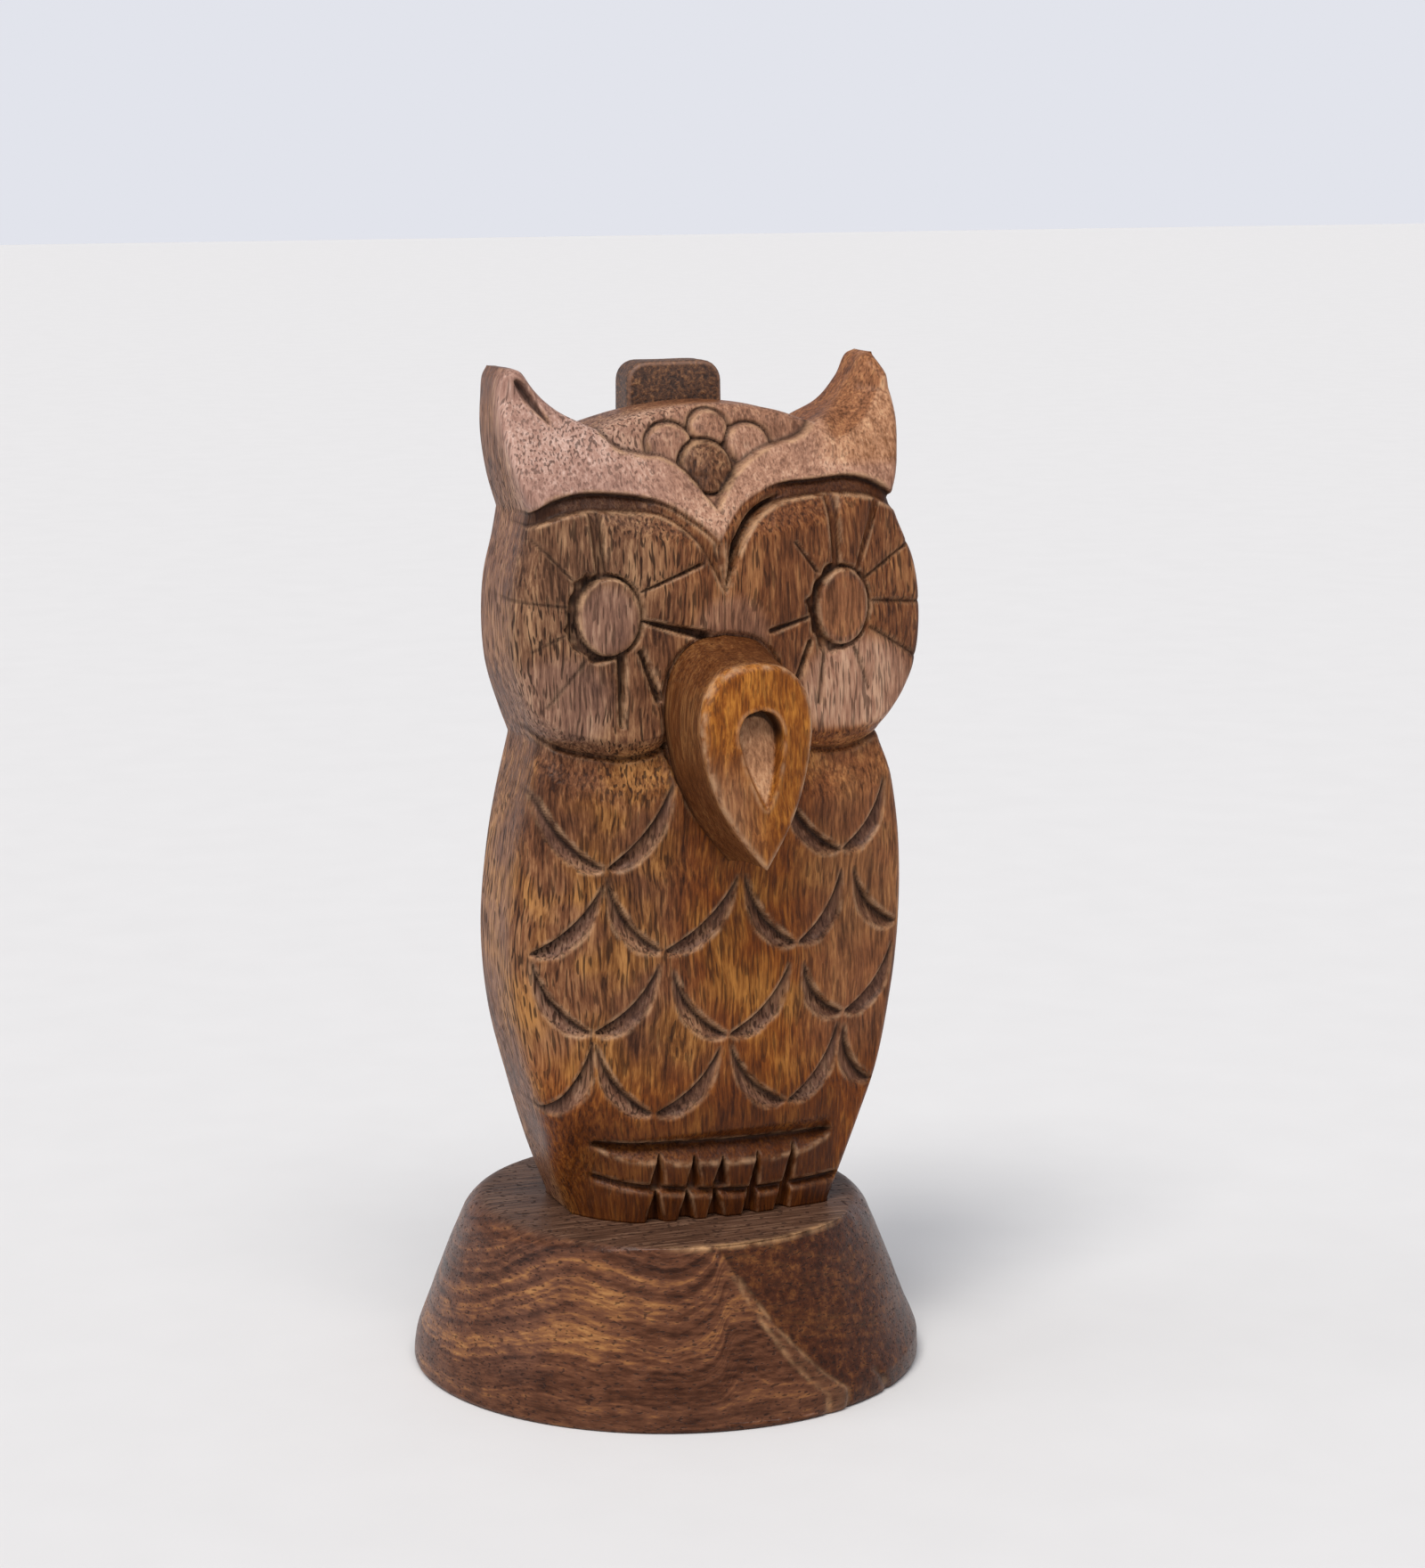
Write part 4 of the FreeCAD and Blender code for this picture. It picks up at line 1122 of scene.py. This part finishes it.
COOL = shades((54, 32, 20), (112, 76, 54), (168, 128, 94))
WARM = shades((58, 24, 6), (116, 58, 14), (162, 96, 34))
PALE = shades((146, 108, 94), (178, 138, 122), (212, 178, 164))
SUNNY = shades((128, 84, 54), (184, 134, 100), (220, 176, 136))
GOLD = shades((84, 40, 10), (134, 74, 22), (184, 118, 46))
TAN = shades((130, 88, 58), (182, 134, 96), (208, 164, 124))
HONEY = shades((54, 30, 8), (118, 72, 26), (178, 122, 58))
PORE = srgb(32, 17, 10)
FIGURED = stops((0.38, 44, 22, 12), (0.46, 76, 44, 28), (0.53, 100, 62, 42), (0.59, 134, 88, 52),
                (0.67, 168, 120, 72))
RED_MOTTLE = stops((0.36, 38, 18, 10), (0.52, 70, 35, 18), (0.68, 112, 68, 34))
GREY_STROKES = stops((0.36, 58, 40, 30), (0.52, 88, 62, 48), (0.70, 128, 98, 78))
SPECKLES = stops((0.38, 44, 26, 16), (0.50, 82, 52, 34), (0.60, 118, 78, 48), (0.70, 160, 118, 78))
STEEL_MOTTLE = stops((0.3, 120, 116, 108), (0.7, 178, 174, 164))
FLOOR_MOTTLE = stops((0.3, 219, 217, 216), (0.7, 221, 219, 218))
BASE_PORE = srgb(34, 18, 12)
BASE_STAIN = srgb(24, 12, 8)
BASE_WORN_AND_HIGHLIT = srgb(190, 146, 104)
BRACE_WORN_AND_HIGHLIT = srgb(150, 110, 88)
SKY = srgb(226, 228, 236)
GRAIN_BUMP = 0.00025
SPECKLE_BUMP = 0.0003
# Noise layers as (scale, detail, roughness)
BROAD_FIBRES = (620.0, 3.0, 0.6)
FINE_FIBRES = (2300.0, 3.0, 0.65)
SLOW_CLOUDS = (55.0, 4.0, 0.6)
HONEY_CLOUDS = (110.0, 2.0)
PORE_DASHES = (3500.0, 0.0, 0.4)
BASE_CLOUDS = (60.0, 4.0, 0.6)
BASE_FINE = (1900.0, 3.0, 0.6)
BASE_STREAKS = (1500.0, 3.0, 0.6)
BASE_MOTTLE = (700.0, 5.0, 0.7)
BASE_STROKES = (1900.0, 3.0, 0.65)
BASE_DOTS = (3600.0, 0.0)
RING_WOBBLE = (120.0, 4.0, 0.6)
FLECKS = (1900.0, 3.0, 0.6)
BRACE_CLOUDS = (90.0, 3.0, 0.6)
STEEL_CLOUDS = (900.0,)
FLOOR_CLOUDS = (60.0,)
WOOD_LIGHTENING_SCALE, BASE_LIGHTENING_SCALE = 520.0, 480.0


def wandering(n):
    """Object coordinates pushed a little from side to side, so that fibres aren't quite straight."""
    push = n.add("ShaderNodeTexNoise", {"Vector": n.place, "Scale": 45.0, "Detail": 2.0}).outputs[1]
    push = n.add("ShaderNodeVectorMath", {0: push, 1: (0.5, 0.5, 0.5)}, operation="SUBTRACT").outputs[0]
    push = n.add("ShaderNodeVectorMath", {0: push, "Scale": 0.004}, operation="SCALE").outputs[0]
    return n.add("ShaderNodeVectorMath", {0: n.place, 1: push}, operation="ADD").outputs[0]


def fibre_colour(n, tone, cool, warm, pale, sunny):
    """Fibres by tone: the mesh's warm value leads from cool to warm, honey adds patches, pale lightens."""
    def fibres(shades):
        return n.ramp(tone, *zip((0.40, 0.50, 0.61), shades))

    heat = n.attribute("warm")
    colour = n.mix(heat, fibres(cool), fibres(warm))
    patches = n.ramp(n.noise(n.place, *HONEY_CLOUDS), (0.44, 0), (0.60, 0.6))
    colour = n.mix(n.times(patches, n.attribute("honey")), colour, fibres(HONEY))
    light = n.mix(heat, fibres(pale), fibres(sunny))
    return n.mix(n.times(n.attribute("pale"), 0.85), colour, light)


def open_pores(n, grain, along, slow, contrast):
    """Short dashes along the fibres, fewer where the wood is warm or pale."""
    short = tuple(min(1, 0.8 * a) for a in along)
    dashes = n.ramp(n.noise(n.stretched(grain, short), *PORE_DASHES), (0.58, 0), (0.65, 1))
    patchy = n.ramp(slow, (0.40, 0.35), (0.58, 1))
    amount = n.times(n.ramp(n.attribute("warm"), (0.2, 0.85), (1.0, 0.55)),
                     n.ramp(n.attribute("pale"), (0.0, 1), (1.0, 0.75)))
    return n.times(dashes, n.times(patchy, n.times(amount, contrast)))


def wood(name, cool, warm, pale, sunny, along=(1, 1, 0.11), contrast=1.0):
    """Oiled hardwood: long fibres, dashes of open pores, painted shade in crevices, edges lightened as worn
    wood and painted highlight, and pale sloping cuts.

    cool and warm are (dark, middle, light) shades that the mesh's warm value mixes; its pale value
    lightens them to pale and sunny.
    """
    n = Nodes(name)
    grain = wandering(n)
    long_way = n.stretched(grain, along)
    broad = n.noise(long_way, *BROAD_FIBRES)
    fine = n.noise(long_way, *FINE_FIBRES)
    slow = n.noise(n.place, *SLOW_CLOUDS)
    tone = n.total((broad, 0.26), (fine, 0.38), (slow, 0.36))
    colour = fibre_colour(n, tone, cool, warm, pale, sunny)
    pores = open_pores(n, grain, along, slow, contrast)
    colour = n.mix(pores, colour, PORE)
    # Painted shade on the channel floors, the lower belly and the beak, and the gouge floors' duller
    # colour, mixed towards a dark shade.
    shade = tuple(0.45 * (a + b) for a, b in zip(cool[0], warm[0]))
    colour = n.mix(n.times(n.attribute("dull"), 0.75), colour, shade)
    # Painted shade in hollows, crevices and cut lines, mixed towards a near-black brown.
    stain = n.times(n.attribute("stain"), n.ramp(fine, (0.35, 0.75), (0.6, 1)), clamp=True)
    colour = n.mix(n.times(stain, 0.9), colour, tuple(0.35 * c for c in PORE))
    # Edges lightened as worn wood and painted highlight.
    light = tuple(0.5 * (a + b) for a, b in zip(cool[2], sunny[2]))
    colour = n.mix(n.lightening(0.75, WOOD_LIGHTENING_SCALE, (0.38, 0.1), (0.6, 1)), colour, light)
    gloss = n.total((slow, 0.3), 0.25, (pores, 0.25), (stain, 0.3), clamp=True)
    height = n.total(n.math("SUBTRACT", n.times(fine, 0.5), n.times(pores, 0.8)), (broad, 0.5))
    return n.surface(colour, gloss, Normal=n.bump(height, 0.6, GRAIN_BUMP), Coat_Weight=0.02,
                     Coat_Roughness=0.3, Specular_IOR_Level=0.13)


def ring_tone(n, slow):
    """Tone of the base's annual rings, which follow the mesh's figure value, brighter half way up."""
    figure = n.attribute("figure")
    level = n.total(figure, (n.noise(n.place, *RING_WOBBLE), 2.4))
    rings = n.add("ShaderNodeTexNoise", {"W": level, "Scale": 0.34, "Detail": 5.0, "Roughness": 0.62},
                  noise_dimensions="1D").outputs[0]
    streak = n.noise(n.stretched(n.place, (0.25, 0.25, 1)), *BASE_STREAKS)
    tone = n.total((rings, 0.46), (slow, 0.24), (streak, 0.30))
    band = n.ramp(n.times(figure, 0.025), (0.16, 0), (0.28, 1), (0.42, 1), (0.52, 0))
    return n.total(tone, (n.math("SUBTRACT", band, 0.4), 0.05))


def base_wood(name):
    """Dark hardwood whose annual rings wave round the cone; a mottled red facet and a greyer flat top."""
    n = Nodes(name)
    slow = n.noise(n.place, *BASE_CLOUDS)
    fine = n.noise(n.place, *BASE_FINE)
    top = n.attribute("top")
    colour = n.ramp(ring_tone(n, slow), *FIGURED)
    red = n.ramp(n.noise(n.place, *BASE_MOTTLE), *RED_MOTTLE)
    colour = n.mix(n.times(n.attribute("facet"), 0.85), colour, red)
    strokes = n.noise(n.stretched(n.place, (0.06, 1, 1), 38), *BASE_STROKES)
    colour = n.mix(n.times(top, 0.9), colour, n.ramp(strokes, *GREY_STROKES))
    dots = n.noise(n.stretched(n.place, (0.35, 0.35, 1)), *BASE_DOTS)
    pores = n.times(n.ramp(dots, (0.66, 0), (0.74, 1)), 0.65)
    colour = n.mix(pores, colour, BASE_PORE)
    # Painted shade in the nick and along the seam's crease; then worn places and a painted highlight along
    # the front of the top edge are lightened.
    colour = n.mix(n.times(n.attribute("stain"), 0.85), colour, BASE_STAIN)
    colour = n.mix(n.lightening(0.85, BASE_LIGHTENING_SCALE, (0.36, 0.15), (0.58, 1)), colour, BASE_WORN_AND_HIGHLIT)
    gloss = n.total((slow, 0.3), 0.16, (top, 0.2), (pores, 0.3), clamp=True)
    height = n.math("SUBTRACT", n.times(fine, 0.5), n.times(pores, 1.0))
    return n.surface(colour, gloss, Normal=n.bump(height, 0.5, GRAIN_BUMP), Coat_Weight=0.04,
                     Coat_Roughness=0.26, Specular_IOR_Level=0.12)


def speckled_wood(name):
    """Rough sawn dark wood with golden flecks."""
    n = Nodes(name)
    flecks = n.noise(n.place, *FLECKS)
    slow = n.noise(n.place, *BRACE_CLOUDS)
    colour = n.ramp(n.total((flecks, 0.75), (slow, 0.25)), *SPECKLES)
    # The edges are lightened as worn wood and painted highlight.
    colour = n.mix(n.times(n.attribute("wear"), 0.7), colour, BRACE_WORN_AND_HIGHLIT)
    return n.surface(colour, n.total((slow, 0.3), 0.4), Normal=n.bump(flecks, 0.6, SPECKLE_BUMP))


def steel(name):
    n = Nodes(name)
    mottle = n.noise(n.place, *STEEL_CLOUDS)
    return n.surface(n.ramp(mottle, *STEEL_MOTTLE), n.ramp(mottle, (0.3, 0.28), (0.7, 0.5)), Metallic=1.0)


def floor_material():
    n = Nodes("pale_floor")
    return n.surface(n.ramp(n.noise(n.place, *FLOOR_CLOUDS), *FLOOR_MOTTLE), 0.85, Specular_IOR_Level=0.15)


# ---- floor, light and camera
FLOOR_HALF_SIDE = 4.0


def add_stage():
    a = FLOOR_HALF_SIDE
    mesh = bpy.data.meshes.new("floor")
    mesh.from_pydata([(-a, -a, 0), (a, -a, 0), (a, a, 0), (-a, a, 0)], [], [(0, 1, 2, 3)])
    floor = bpy.data.objects.new("floor", mesh)
    floor.data.materials.append(floor_material())
    bpy.context.scene.collection.objects.link(floor)


def add_sun(name, bearing, height, strength, spread, colour):
    """A broad distant light; its bearing is in degrees from the owl's front to a viewer's right."""
    turn, lift = math.radians(bearing), math.radians(height)
    toward = Vector((math.sin(turn) * math.cos(lift), -math.cos(turn) * math.cos(lift), math.sin(lift)))
    light = bpy.data.lights.new(name, "SUN")
    light.energy = strength
    light.angle = math.radians(spread)
    light.color = colour
    lamp = bpy.data.objects.new(name, light)
    lamp.rotation_euler = toward.to_track_quat("Z", "Y").to_euler()
    bpy.context.scene.collection.objects.link(lamp)


def add_sky():
    """A pale studio wall above the horizon, and a dimmer grey overhead."""
    world = bpy.data.worlds.new("studio")
    world.use_nodes = True
    tree = world.node_tree
    split = tree.nodes.new("ShaderNodeSeparateXYZ")
    tree.links.new(tree.nodes.new("ShaderNodeTexCoord").outputs["Generated"], split.inputs[0])
    sky = tree.nodes.new("ShaderNodeValToRGB")
    wall, overhead = sky.color_ramp.elements
    wall.position, overhead.position = 0.08, 0.35
    wall.color = (*SKY, 1)
    overhead.color = (0.36, 0.38, 0.42, 1)
    tree.links.new(split.outputs[2], sky.inputs[0])
    tree.links.new(sky.outputs[0], tree.nodes["Background"].inputs[0])
    bpy.context.scene.world = world


def add_lights():
    add_sun("key", -44, 58, 1.9, 22, (1.0, 0.98, 0.95))
    add_sun("front", 4, 58, 0.8, 24, (1.0, 0.98, 0.96))
    add_sun("side", -98, 28, 0.5, 40, (0.92, 0.95, 1.0))
    add_sky()
    bpy.context.scene.view_settings.view_transform = "Standard"


# ---- putting it together
add_camera()
add_stage()
add_lights()

for piece, node, material, slot_name in (
        (make_owl(), "owl_body", wood("owl_wood", COOL, WARM, PALE, SUNNY), "owl_wood"),
        (make_beak(), "beak", wood("beak_wood", COOL, GOLD, PALE, TAN, contrast=0.7), "beak_wood"),
        (make_base(), "base", base_wood("base_wood"), "base_wood"),
        (make_brace(), "rear_brace", speckled_wood("brace_wood"), "brace_wood")):
    piece.data.materials.append(material)
    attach(piece, "root")
    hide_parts(node)

STEEL = steel("screw_steel")
DOWEL_WOOD = wood("dowel_wood", TAN, TAN, TAN, TAN, along=(1, 0.06, 1))
for node, material in (("base_screws", STEEL), ("brace_screws", STEEL), ("beak_dowel", DOWEL_WOOD)):
    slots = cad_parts[node].data.materials
    slots.clear()
    slots.append(material)
